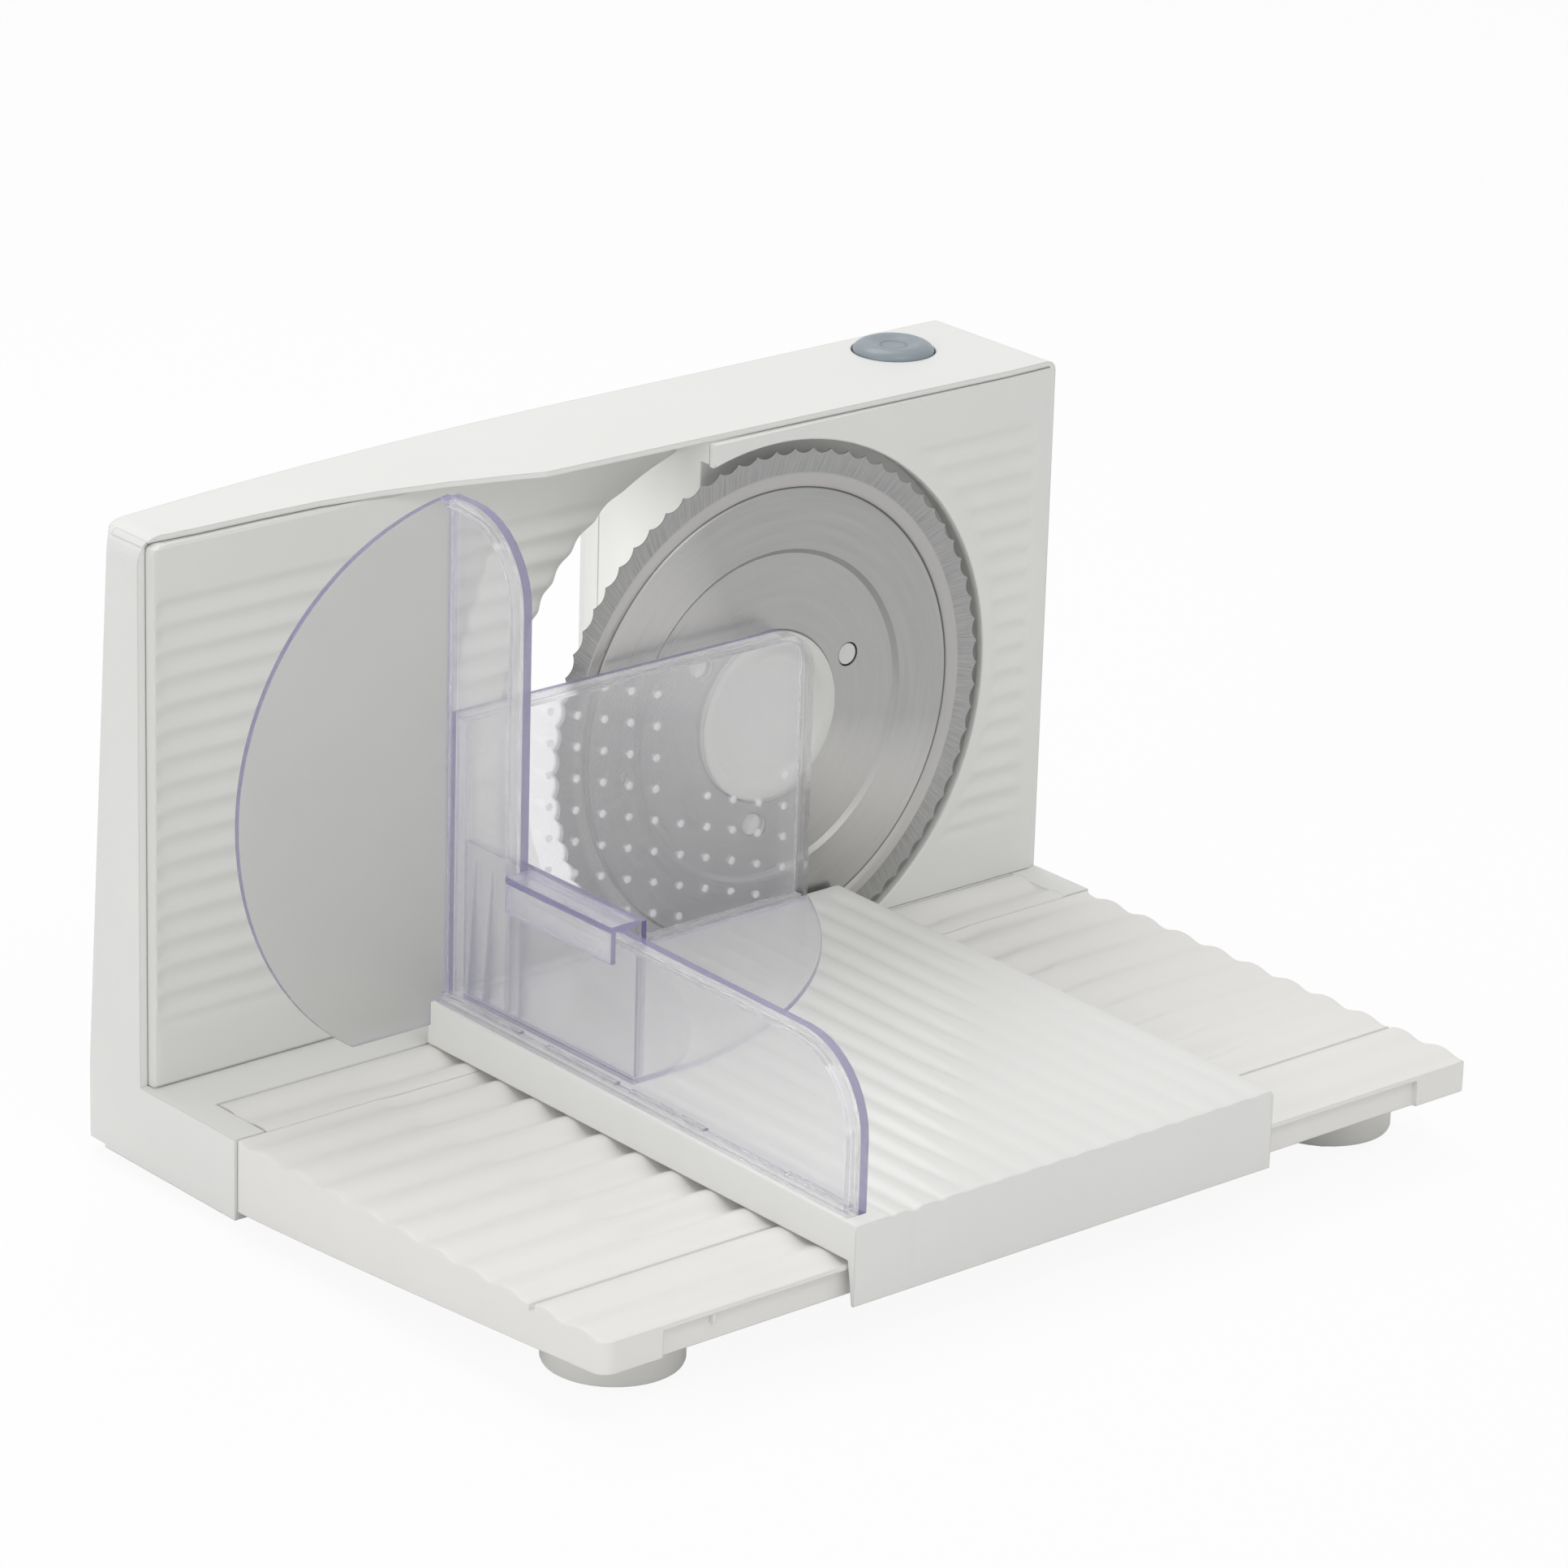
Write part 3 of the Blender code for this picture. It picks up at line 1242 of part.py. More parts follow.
def make_guard():
    """The clear finger guard: a flanged panel on the carriage and a round shield beside it."""
    guard = prism("guard", guard_outline(0.0), "X", GUARD_LEFT, PANEL_RIGHT)
    tray = prism("tray", guard_outline(FLANGE_THICKNESS), "X", GUARD_LEFT - 0.01, PANEL_LEFT)
    guard = combine(guard, tray)
    y1 = -CARRIAGE_BACK_GAP
    y0 = y1 - FLANGE_THICKNESS
    right = PANEL_RIGHT - 0.0005
    low = -SHIELD_DROP
    start = atan2(sqrt(HAND_SHIELD_RADIUS**2 - (right - HAND_SHIELD_X) ** 2), right - HAND_SHIELD_X)
    drop = low - HAND_SHIELD_Z
    end = 2 * pi - atan2(-drop, -sqrt(HAND_SHIELD_RADIUS**2 - drop**2))
    shield = arc((HAND_SHIELD_X, HAND_SHIELD_Z), HAND_SHIELD_RADIUS, start, end, 40)
    shield = [(x, min(z, GUARD_TOP)) for x, z in shield]
    edge = CARRIAGE_LEFT - GLIDE
    bottom = carriage_top(y1) + GLIDE
    shield += [(edge, low), (edge, bottom), (right, bottom)]
    shield_body = prism("shield", shield, "Y", y0, y1)
    return combine(guard, shield_body, "UNION")


def holder_plane():
    return -CARRIAGE_BACK_GAP - SPIKE_HEIGHT + 2 * CLEARANCE


def make_food_holder():
    """The clear pusher: a spiked plate, a side wall that hooks over the guard and a floor."""
    back = holder_plane()
    face = back - HOLDER_WALL
    floor = -CARRIAGE_TOP_DROP + 3 * GLIDE
    right = HOLDER_RIGHT
    outline = rounded((HOLDER_LEFT, floor), (right, HOLDER_TOP), (0.0, 0.0, HOLDER_CORNER, 0.0), 8)
    plate = prism("food_holder", outline, "Y", face - HOLDER_RIM, back)
    inner = rounded(
        (HOLDER_LEFT + HOLDER_WALL, floor + HOLDER_WALL),
        (right - HOLDER_WALL, HOLDER_TOP - HOLDER_WALL),
        (0.0, 0.0, HOLDER_CORNER - HOLDER_WALL, 0.0),
        8,
    )
    plate = combine(plate, prism("tray", inner, "Y", face - HOLDER_RIM - 0.01, face))
    front = -HOLDER_DEPTH
    hook_low = -GUARD_LOW_TOP_DROP + GLIDE
    hook_top = hook_low + HOLDER_WALL
    side = prism(
        "side",
        [(back, floor), (back, hook_top), (front, hook_top), (front, floor)],
        "X",
        HOLDER_LEFT,
        HOLDER_LEFT + HOLDER_WALL,
    )
    plate = combine(plate, side, "UNION")
    hook_back = front + HOOK_LENGTH
    flap_right = GUARD_LEFT - GLIDE
    flap_left = flap_right - HOLDER_WALL
    hook = block("hook", (flap_left, front, hook_low), (HOLDER_LEFT + HOLDER_WALL / 2, hook_back, hook_top))
    plate = combine(plate, hook, "UNION")
    flap = block("flap", (flap_left, front, hook_low - HOOK_FLAP), (flap_right, hook_back, hook_top))
    plate = combine(plate, flap, "UNION")
    corner_y = HOLDER_FLOOR_ARC - HOLDER_DEPTH - 0.0046
    start_x = sqrt(HOLDER_FLOOR_ARC**2 - (corner_y - back) ** 2)
    start = atan2(back - corner_y, start_x)
    floor_arc = arc((HOLDER_LEFT - 0.001, corner_y), HOLDER_FLOOR_ARC, start, -pi / 2 + 0.02, 28)
    floor_arc = [(min(x, right + 0.0015), max(y, front)) for x, y in floor_arc]
    floor_arc.append((HOLDER_LEFT, front))
    floor_arc.append((HOLDER_LEFT, back))
    floor_body = prism("floor", floor_arc, "Z", floor, floor + HOLDER_WALL)
    plate = combine(plate, floor_body, "UNION")
    spikes = []
    columns = int((right - 0.010 - HOLDER_LEFT - 0.036) / SPIKE_PITCH_X) + 1
    for column in range(columns):
        x = HOLDER_LEFT + 0.036 + column * SPIKE_PITCH_X
        rows = 7 if column < 5 else 4
        for row in range(rows):
            z = floor + 0.012 + row * SPIKE_PITCH_Z
            profile = [(0.0, back - 0.0004), (0.0012, back - 0.0004), (0.0003, back + SPIKE_HEIGHT - 3 * CLEARANCE)]
            profile.append((0.0, back + SPIKE_HEIGHT - 3 * CLEARANCE))
            spikes.append(turned("spike", profile, 4, (x, 0.0, z)))
    return combine(plate, join_bodies("spikes", spikes), "UNION")


def main():
    clear_scene()
    frame = empty("slicer_frame", WORLD_OFFSET)
    knob_axis = empty("knob_axis", (KNOB_X, 0.0, KNOB_Z), frame)
    worm_axis = empty("worm_axis", (0.0, GEAR_Y, worm_height()), frame)
    blade_axis = empty("blade_axis", (0.0, 0.0, 0.0), frame)

    seat(make_housing(), "white_plastic", frame)
    seat(make_front_plate(), "white_plastic", frame)
    seat(make_back_cover(), "white_plastic", frame)
    seat(make_inlet_gland(), "dark_plastic", frame)
    seat(make_base_cover(), "white_plastic", frame)
    seat(make_stop_plate(), "white_plastic", frame)
    knob_pivot = (KNOB_X, 0.0, KNOB_Z)
    seat(make_knob(), "white_plastic", knob_axis, knob_pivot)
    seat(make_spindle(), "plain_steel", knob_axis, knob_pivot)
    for guide in make_guide_rods():
        seat(guide, "plain_steel", frame)

    seat(make_blade(), "blade_steel", blade_axis)
    seat(make_hub_cap(), "white_plastic", blade_axis)
    seat(make_hub(), "gear_nylon", blade_axis)
    seat(make_gear(), "gear_nylon", blade_axis)
    for bush in make_bushes():
        seat(bush, "bronze", blade_axis)
    axle_end = GEAR_Y + GEAR_WIDTH / 2 + 0.006
    axle_start = DISH_DEPTH + 3 * CLEARANCE
    seat(rod("blade_axle", (0.0, 0.0), AXLE_RADIUS, axle_start, axle_end), "plain_steel", frame)
    seat(make_axle_bracket(), "dark_plastic", frame)
    seat(make_worm(), "plain_steel", worm_axis, (0.0, GEAR_Y, worm_height()))
    can, bell = make_motor()
    seat(can, "plain_steel", frame)
    seat(bell, "dark_plastic", frame)
    seat(make_motor_cradle(), "dark_plastic", frame)

    seat(make_button(), "button_plastic", frame)
    seat(make_spring(), "plain_steel", frame)
    seat(make_switch(), "dark_plastic", frame)

    seat(make_platform(), "warm_white_plastic", frame)
    for pin in make_hinge_pins():
        seat(pin, "plain_steel", frame)
    for foot in make_platform_feet():
        seat(foot, "white_plastic", frame)
    for pad in make_foot_pads() + make_rear_feet():
        seat(pad, "rubber", frame)

    seat(make_carriage(), "warm_white_plastic", frame)
    seat(make_guard(), "clear_plastic", frame)
    seat(make_food_holder(), "clear_plastic", frame)


main()
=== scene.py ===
"""The looks of a folding electric food slicer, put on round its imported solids."""

from math import atan2, cos, pi, radians, sin, sqrt, tan

import bmesh
import bpy
from mathutils import Matrix, Vector


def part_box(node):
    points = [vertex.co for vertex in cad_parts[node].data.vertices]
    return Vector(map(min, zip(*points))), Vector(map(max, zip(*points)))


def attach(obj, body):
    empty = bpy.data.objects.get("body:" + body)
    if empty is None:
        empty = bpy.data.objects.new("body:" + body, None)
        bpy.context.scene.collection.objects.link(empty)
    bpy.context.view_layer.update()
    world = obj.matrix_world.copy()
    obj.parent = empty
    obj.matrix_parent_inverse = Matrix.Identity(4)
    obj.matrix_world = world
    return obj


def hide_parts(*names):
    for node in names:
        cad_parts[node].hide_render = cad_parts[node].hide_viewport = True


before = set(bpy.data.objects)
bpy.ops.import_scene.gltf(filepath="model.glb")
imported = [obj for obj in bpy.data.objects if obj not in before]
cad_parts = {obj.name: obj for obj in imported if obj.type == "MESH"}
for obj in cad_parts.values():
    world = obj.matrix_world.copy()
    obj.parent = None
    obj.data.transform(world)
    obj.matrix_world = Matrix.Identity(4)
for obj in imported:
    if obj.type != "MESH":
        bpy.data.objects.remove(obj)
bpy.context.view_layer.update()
blade_low, blade_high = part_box("blade")
CUT_SETBACK = 0.0003
blade_x, blade_z = (blade_low.x + blade_high.x) / 2, (blade_low.z + blade_high.z) / 2
CENTRE = Vector((blade_x, blade_low.y - CUT_SETBACK, blade_z))


def solid_box(node):
    """A solid's lowest and highest corners, measured from the blade's centre."""
    low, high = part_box(node)
    return low - CENTRE, high - CENTRE


# The camera stands to the left of the slicer's front and well above the table, with a long lens,
# and leans a little to one side.
LENS_MM = 154.65
CAMERA_BEARING = radians(-40.71)
CAMERA_RISE = radians(20.703)
CAMERA_LEAN = radians(1.733)
CAMERA_PLACE = Vector((-1.2589, -1.4709, 0.7098))

flat = cos(CAMERA_RISE)
away = Vector((sin(CAMERA_BEARING) * flat, -cos(CAMERA_BEARING) * flat, sin(CAMERA_RISE)))
level = Vector((cos(CAMERA_BEARING), sin(CAMERA_BEARING), 0.0))
upward = away.cross(level)
across = cos(CAMERA_LEAN) * level + sin(CAMERA_LEAN) * upward
upward = away.cross(across)
camera_data = bpy.data.cameras.new("camera")
camera_data.lens = LENS_MM
camera_data.sensor_width = 36.0
camera_data.clip_start = 0.05
camera_data.clip_end = 30.0
camera = bpy.data.objects.new("camera", camera_data)
bpy.context.scene.collection.objects.link(camera)
camera_turn = Matrix((across, upward, away)).transposed().to_4x4()
camera.matrix_world = Matrix.Translation(CENTRE + CAMERA_PLACE) @ camera_turn
bpy.context.scene.camera = camera
bpy.context.scene.view_settings.view_transform = "Standard"


# The studio is a white sweep under broad soft lamps, the strongest of them above and behind. A very
# weak one lights the slot beside the blade. Finishes are written as sums of shader wires, and the
# sweep's is the first of them.
class Wire:
    """One shader output, on which Python's arithmetic signs add Math nodes."""

    def __init__(self, tree, socket):
        self.tree = tree
        self.socket = socket

    def join(self, operation, *values):
        made = self.tree.nodes.new("ShaderNodeMath")
        made.operation = operation
        for slot, value in zip(made.inputs, values):
            feed(self.tree, slot, value)
        return Wire(self.tree, made.outputs[0])

    def __add__(self, other):
        return self.join("ADD", self, other)

    def __sub__(self, other):
        return self.join("SUBTRACT", self, other)

    def __rsub__(self, other):
        return self.join("SUBTRACT", other, self)

    def __mul__(self, other):
        return self.join("MULTIPLY", self, other)

    def __pow__(self, other):
        return self.join("POWER", self, other)

    __radd__ = __add__
    __rmul__ = __mul__


def feed(tree, slot, value):
    """Links a wire to an input, or writes a number or colour in it."""
    if isinstance(value, Wire):
        tree.links.new(value.socket, slot)
    elif slot.type == "RGBA" and len(value) == 3:
        slot.default_value = (*value, 1.0)
    else:
        slot.default_value = value


class Finish:
    """A material made of one Principled shader and the wires that lead to it."""

    def __init__(self, name, **settings):
        self.material = bpy.data.materials.new(name)
        self.material.use_nodes = True
        self.tree = self.material.node_tree
        self.shader = self.tree.nodes["Principled BSDF"]
        self.wear(**settings)

    def wear(self, **settings):
        """Feeds the shader's sockets, named with underscores for spaces."""
        for name, value in settings.items():
            feed(self.tree, self.shader.inputs[name.replace("_", " ")], value)

    def node(self, kind, sockets=(), output=0, **settings):
        made = self.tree.nodes.new("ShaderNode" + kind)
        for name, value in settings.items():
            setattr(made, name, value)
        for name, value in dict(sockets).items():
            feed(self.tree, made.inputs[name], value)
        return Wire(self.tree, made.outputs[output])

    def place(self):
        """The point on the surface, in metres."""
        return self.node("TexCoord", output="Object")

    def part_of(self, vector):
        """A vector's three numbers."""
        split = self.node("SeparateXYZ", {"Vector": vector})
        return [Wire(self.tree, split.socket.node.outputs[i]) for i in range(3)]

    def point(self, x, y, z):
        return self.node("CombineXYZ", {"X": x, "Y": y, "Z": z})

    def noise(self, vector, scale, detail=2.0, roughness=0.5):
        return self.node(
            "TexNoise", {"Vector": vector, "Scale": scale, "Detail": detail, "Roughness": roughness}
        )

    def stretch(self, value, low, high, new_low=0.0, new_high=1.0):
        """Maps one range on another and holds it within the new one."""
        return self.node(
            "MapRange",
            {"Value": value, "From Min": low, "From Max": high, "To Min": new_low, "To Max": new_high},
        )

    def mix(self, share, one, two):
        return self.node("Mix", {0: share, 6: one, 7: two}, output=2, data_type="RGBA")

    def bump(self, height, distance, strength=1.0, **onward):
        return self.node(
            "Bump", {"Height": height, "Distance": distance, "Strength": strength, **onward}
        )


WORLD_LIGHT = 0.60
WORLD_GLOSS = 0.20
FLOOR_GLOW = 0.92
FLOOR_GLOSS = 0.3
world = bpy.data.worlds.new("studio")
bpy.context.scene.world = world
world.use_nodes = True
tree = world.node_tree
sky = tree.nodes["Background"]
path = tree.nodes.new("ShaderNodeLightPath")
seen = Wire(tree, path.outputs["Is Camera Ray"]) + Wire(tree, path.outputs["Is Transmission Ray"])
seen = seen.join("MINIMUM", seen, 1.0)
mirrored = Wire(tree, path.outputs["Is Glossy Ray"])
strength = seen + (1.0 - seen) * (mirrored * WORLD_GLOSS + WORLD_LIGHT)
sky.inputs["Color"].default_value = (1.0, 1.0, 1.0, 1.0)
feed(tree, sky.inputs["Strength"], strength)


def lamp(name, place, aim, size, power):
    """A soft rectangular lamp, turned towards a point."""
    data = bpy.data.lights.new(name, "AREA")
    data.shape = "RECTANGLE"
    data.size, data.size_y = size
    data.energy = power
    made = bpy.data.objects.new(name, data)
    made.location = place
    made.rotation_euler = (Vector(aim) - Vector(place)).to_track_quat("-Z", "Y").to_euler()
    bpy.context.scene.collection.objects.link(made)
    return made


lamp("top_lamp", (0.10, 0.75, 1.35), (0.0, 0.0, 0.08), (1.0, 0.7), 6.1)
lamp("left_lamp", (-1.7, -0.15, 0.75), (0.0, 0.0, 0.1), (0.9, 0.9), 4.6)
lamp("front_lamp", (-0.15, -1.15, 1.75), (0.0, 0.0, 0.1), (0.9, 0.6), 5.7)
gap_place = CENTRE + Vector((-0.062, 0.036, 0.030))
gap_aim = CENTRE + Vector((-0.024, 0.036, 0.030))
gap_lamp = lamp("gap_lamp", gap_place, gap_aim, (0.03, 0.10), 0.018)
gap_lamp.visible_camera = False
gap_lamp.visible_glossy = False
gap_lamp.visible_transmission = False

HALF_FLOOR = 6.0
floor_corners = [(x * HALF_FLOOR, y * HALF_FLOOR, 0) for x, y in ((-1, -1), (1, -1), (1, 1), (-1, 1))]
floor_mesh = bpy.data.meshes.new("floor")
floor_mesh.from_pydata(floor_corners, [], [(0, 1, 2, 3)])
floor = bpy.data.objects.new("floor", floor_mesh)
bpy.context.scene.collection.objects.link(floor)
sweep = Finish("white_sweep", Base_Color=(0.9, 0.9, 0.9), Roughness=0.9, Specular_IOR_Level=0.0)
faces_camera = sweep.node("LightPath", output="Is Camera Ray")
faces_glass = sweep.node("LightPath", output="Is Transmission Ray")
faces_metal = sweep.node("LightPath", output="Is Glossy Ray")
glow_share = (faces_camera + faces_glass + faces_metal * FLOOR_GLOSS) * FLOOR_GLOW
lit = Wire(sweep.tree, sweep.shader.outputs[0])
blend = sweep.node("MixShader", {0: glow_share, 1: lit, 2: sweep.node("Emission")})
feed(sweep.tree, sweep.tree.nodes["Material Output"].inputs["Surface"], blend)
floor_mesh.materials.append(sweep.material)


# The housing is one white moulding with a left column, a top, a right casing, a deck and two short
# arms. It keeps its solid, with rounded edges and the fine satin grain of a spark-eroded mould.
EDGE_ROUND = 0.0009
MOULD_GRAIN = 0.00002


def moulded_white(name, colour, edge=EDGE_ROUND):
    """White plastic: faint clouding in the colour, uneven gloss and a fine mould grain."""
    made = Finish(name, Specular_IOR_Level=0.45)
    place = made.place()
    tone = made.stretch(made.noise(place, 14.0, 3.0), 0.3, 0.7)
    darker = tuple(channel * 0.975 for channel in colour)
    made.wear(Base_Color=made.mix(tone, darker, colour))
    speckle = made.noise(place, 2600.0)
    smears = made.noise(place, 38.0)
    made.wear(Roughness=made.stretch(smears, 0.3, 0.7, 0.37, 0.48))
    rounded = {"Normal": made.node("Bevel", {"Radius": edge}, samples=6)} if edge else {}
    made.wear(Normal=made.bump(speckle, MOULD_GRAIN, **rounded))
    return made


WHITE = (0.83, 0.83, 0.81)
housing_white = moulded_white("housing_white", WHITE)


def dress(finish, *nodes):
    """Gives solids that stay in view their finish."""
    for node in nodes:
        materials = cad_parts[node].data.materials
        materials.clear()
        materials.append(finish.material)


dress(housing_white, "housing", "back_cover", "base_cover")


# The front plate round the blade and the stop plate to its left are thin white mouldings with
# level flutes. The stop plate's flutes run out through its curved edge, the front plate's stop short.
FLUTE_PITCH = 0.0081
FLUTE_CREST = 0.0034
FLUTE_DEPTH = 0.0013
FLUTE_END = 0.0032
FLUTE_FADE = 0.006
PLATE_BORDER_TOP = 0.0125
PLATE_BORDER_FOOT = 0.0160
PLATE_ROLL = 0.0007


def smooth_step(value, low, high):
    share = min(1.0, max(0.0, (value - low) / (high - low)))
    return share * share * (3 - 2 * share)


def plateau(value, low, high, fade):
    """One inside a range, falling smoothly to nothing at both its ends."""
    return smooth_step(value, low, low + fade) * (1 - smooth_step(value, high - fade, high))


def spread(start, end, count):
    """Evenly spaced numbers, both ends among them."""
    return [start + (end - start) * k / count for k in range(count + 1)]


def rolled(gap, radius):
    """How deep a rounded edge lies, a gap in from where the piece ends."""
    if gap >= radius:
        return 0.0
    return radius - sqrt(max(0.0, radius**2 - (radius - gap) ** 2))


def make_piece(name, fill, finish, body, replaced, smooth=0.6):
    """Links a piece that stands for solids. Its mesh is written round the blade's centre."""
    bm = bmesh.new()
    fill(bm)
    bmesh.ops.remove_doubles(bm, verts=bm.verts, dist=1e-6)
    bmesh.ops.recalc_face_normals(bm, faces=bm.faces)
    mesh = bpy.data.meshes.new(name)
    bm.to_mesh(mesh)
    bm.free()
    for each in finish if isinstance(finish, (list, tuple)) else [finish]:
        mesh.materials.append(each.material)
    for face in mesh.polygons:
        face.use_smooth = True
    mesh.set_sharp_from_angle(angle=smooth)
    piece = bpy.data.objects.new(name, mesh)
    piece.location = CENTRE
    bpy.context.scene.collection.objects.link(piece)
    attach(piece, body)
    if replaced:
        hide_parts(*replaced)
    return piece


def close_sheet(bm, rows, back):
    """Faces for a grid of points and for its copy on the back, joined all round the rim."""
    front = [[bm.verts.new(point) for point in row] for row in rows]
    behind = [[bm.verts.new(back(vertex.co)) for vertex in row] for row in front]
    for grid in (front, behind):
        for one, two in zip(grid, grid[1:]):
            for i in range(len(one) - 1):
                bm.faces.new((one[i], one[i + 1], two[i + 1], two[i]))
    for k in (0, -1):
        edges = [(front[k], behind[k]), ([row[k] for row in front], [row[k] for row in behind])]
        for near, far in edges:
            for i in range(len(near) - 1):
                bm.faces.new((near[i], near[i + 1], far[i + 1], far[i]))


def flute(z):
    """How deep a flute is at one height."""
    return FLUTE_DEPTH * (0.5 - 0.5 * cos(2 * pi * (z - FLUTE_CREST) / FLUTE_PITCH)) ** 0.8


stop_low, stop_high = solid_box("stop_plate")
plate_low, plate_high = solid_box("front_plate")
CURVE_RADIUS = 0.0875
STOP_THICKNESS = 0.016
STOP_CORNER = 0.0026
plate_white = moulded_white("plate_white", (0.80, 0.805, 0.78), edge=0)


def stop_curve(z):
    """The stop plate's right edge keeps round the blade until it meets its straight corner."""
    if abs(z) >= CURVE_RADIUS:
        return stop_high.x
    return min(stop_high.x, -sqrt(CURVE_RADIUS**2 - z * z))


def stop_left(z):
    """The plate's upper left corner is rounded to clear the housing's."""
    over = max(0.0, z - stop_high.z + STOP_CORNER)
    return stop_low.x + STOP_CORNER - sqrt(STOP_CORNER**2 - over**2)


def make_stop(bm):
    """Rows run across the plate, from its straight left edge to its curved right one."""
    low, high = stop_low.z, stop_high.z
    near_edge = [0.0, PLATE_ROLL * 0.3, PLATE_ROLL, 0.0025, 0.0045]
    rows = []
    for z in spread(low, high, round((high - low) / FLUTE_PITCH * 9)):
        width = stop_curve(z) - stop_left(z)
        stations = near_edge + spread(0.007, width - 0.007, 26) + [width - s for s in reversed(near_edge)]
        row = []
        for s in stations:
            fade = plateau(z, low + PLATE_BORDER_FOOT, high - PLATE_BORDER_TOP, FLUTE_FADE)
            fade *= smooth_step(s, 0.001, FLUTE_END)
            sink = flute(z) * fade
            for gap in (s, width - s, z - low, high - z):
                sink += rolled(gap, PLATE_ROLL)
            row.append((stop_left(z) + s, stop_low.y + sink, z))
        rows.append(row)
    back = stop_low.y + STOP_THICKNESS
    close_sheet(bm, rows, lambda co: (co.x, back, co.z))


# The stop plate's white is painted darker than the front plate's, as shade under the housing's top lip.
stop_white_painted_shade = moulded_white("stop_white_painted_shade", (0.76, 0.765, 0.74), edge=0)
make_piece("ribbed_stop", make_stop, stop_white_painted_shade, "stop", ["stop_plate"])


def make_front_plate(bm):
    """Rows run round the circle, from its rim out to the plate's own straight edges."""
    left, right = plate_low.x, plate_high.x
    low, high = plate_low.z, plate_high.z
    start = atan2(sqrt(CURVE_RADIUS**2 - left**2), left)
    foot = min(-low, CURVE_RADIUS)
    end = -atan2(foot, sqrt(CURVE_RADIUS**2 - foot**2))
    corner_angles = [atan2(high, left), atan2(high, right), atan2(low, right)]
    rows = []
    for turn in sorted(spread(start, end, 380) + corner_angles, reverse=True):
        px, pz = cos(turn), sin(turn)
        reach = []
        for edge, step in ((right if px > 0 else left, px), (high if pz > 0 else low, pz)):
            if edge * step > 1e-9:
                reach.append(edge / step)
        span = max(min(reach) - CURVE_RADIUS, 0.0)
        row = []
        for share in spread(0.0, 1.0, 50):
            from_cut = span * share**1.25
            radius = CURVE_RADIUS + from_cut
            x, z = radius * px, radius * pz
            fade = smooth_step(from_cut, 0.003, 0.0075) * smooth_step(right - x, 0.004, 0.0085)
            fade *= plateau(z, low + PLATE_BORDER_FOOT, high - PLATE_BORDER_TOP, FLUTE_FADE)
            row.append((x, flute(z) * fade + rolled(from_cut, PLATE_ROLL) + 0.0001, z))
        rows.append(row)
    close_sheet(bm, rows, lambda co: (co.x, plate_high.y, co.z))


make_piece(
    "ribbed_front_plate", make_front_plate, plate_white, "base", ["front_plate"]
)


# The housing's upper left corner is a rounded shell over the stop plate's recess. A thin curved
# wall in its own white gives it its full thickness there.
SHELL_X = -0.2106
SHELL_Z = 0.0856
SHELL_RADIUS = 0.0080
SHELL_INNER_SHARE = 0.9
SHELL_ENDS = (0.0229, 0.0384)
SHELL_TURNS = (radians(33), radians(51))


def make_corner_shell(bm):
    rows = []
    for y in SHELL_ENDS:
        turns = spread(*SHELL_TURNS, 8)
        rows.append([(SHELL_X - SHELL_RADIUS * sin(t), y, SHELL_Z + SHELL_RADIUS * cos(t)) for t in turns])

    def inner(co):
        x = SHELL_X + (co.x - SHELL_X) * SHELL_INNER_SHARE
        return (x, co.y, SHELL_Z + (co.z - SHELL_Z) * SHELL_INNER_SHARE)

    close_sheet(bm, rows, inner)


make_piece("corner_shell", make_corner_shell, housing_white, "base", ())


# The blade is a dished disc of stainless steel with a ground, wavy edge, brushed in circles. Its
# white hub cap clips into the dish from the front.
EDGE_RADIUS = 0.085
TEETH = 72
TOOTH_DEPTH = 0.0016
GRIND_INNER = 0.0773
RIDGE_INNER = 0.0724
STEP_RADIUS = 0.0525
BORE_RADIUS = 0.0225
HOLE_CIRCLE = 0.0350
HOLE_RADIUS = 0.0039
HOLE_TURN = 0.385
HUB_SHADE_LINE = 0.0275
PAINTED_HIGHLIGHT_TURN = 2.45
SHEET = 0.0011


def blade_face(radius):
    """How far the blade's front lies behind the cutting plane."""
    profile = (
        (EDGE_RADIUS, CUT_SETBACK),
        (GRIND_INNER, 0.0005),
        (GRIND_INNER - 0.0004, 0.0003),
        (RIDGE_INNER + 0.0006, 0.0007),
        (RIDGE_INNER, 0.0011),
        (RIDGE_INNER - 0.0007, 0.0006),
        (RIDGE_INNER - 0.0030, 0.0004),
        (STEP_RADIUS + 0.0006, 0.0005),
        (STEP_RADIUS - 0.0010, 0.0017),
        (0.0, 0.0015),
    )
    for (r1, y1), (r0, y0) in zip(profile, profile[1:]):
        if r0 <= radius <= r1:
            return y0 + (y1 - y0) * (radius - r0) / (r1 - r0)
    return CUT_SETBACK


def tooth_rim(turn):
    """The edge runs in hollow arcs from one pointed tooth to the next."""
    return EDGE_RADIUS - TOOTH_DEPTH * abs(sin(TEETH * turn / 2)) ** 0.8


def polar(radius, turn, y):
    return (radius * cos(turn), y, radius * sin(turn))


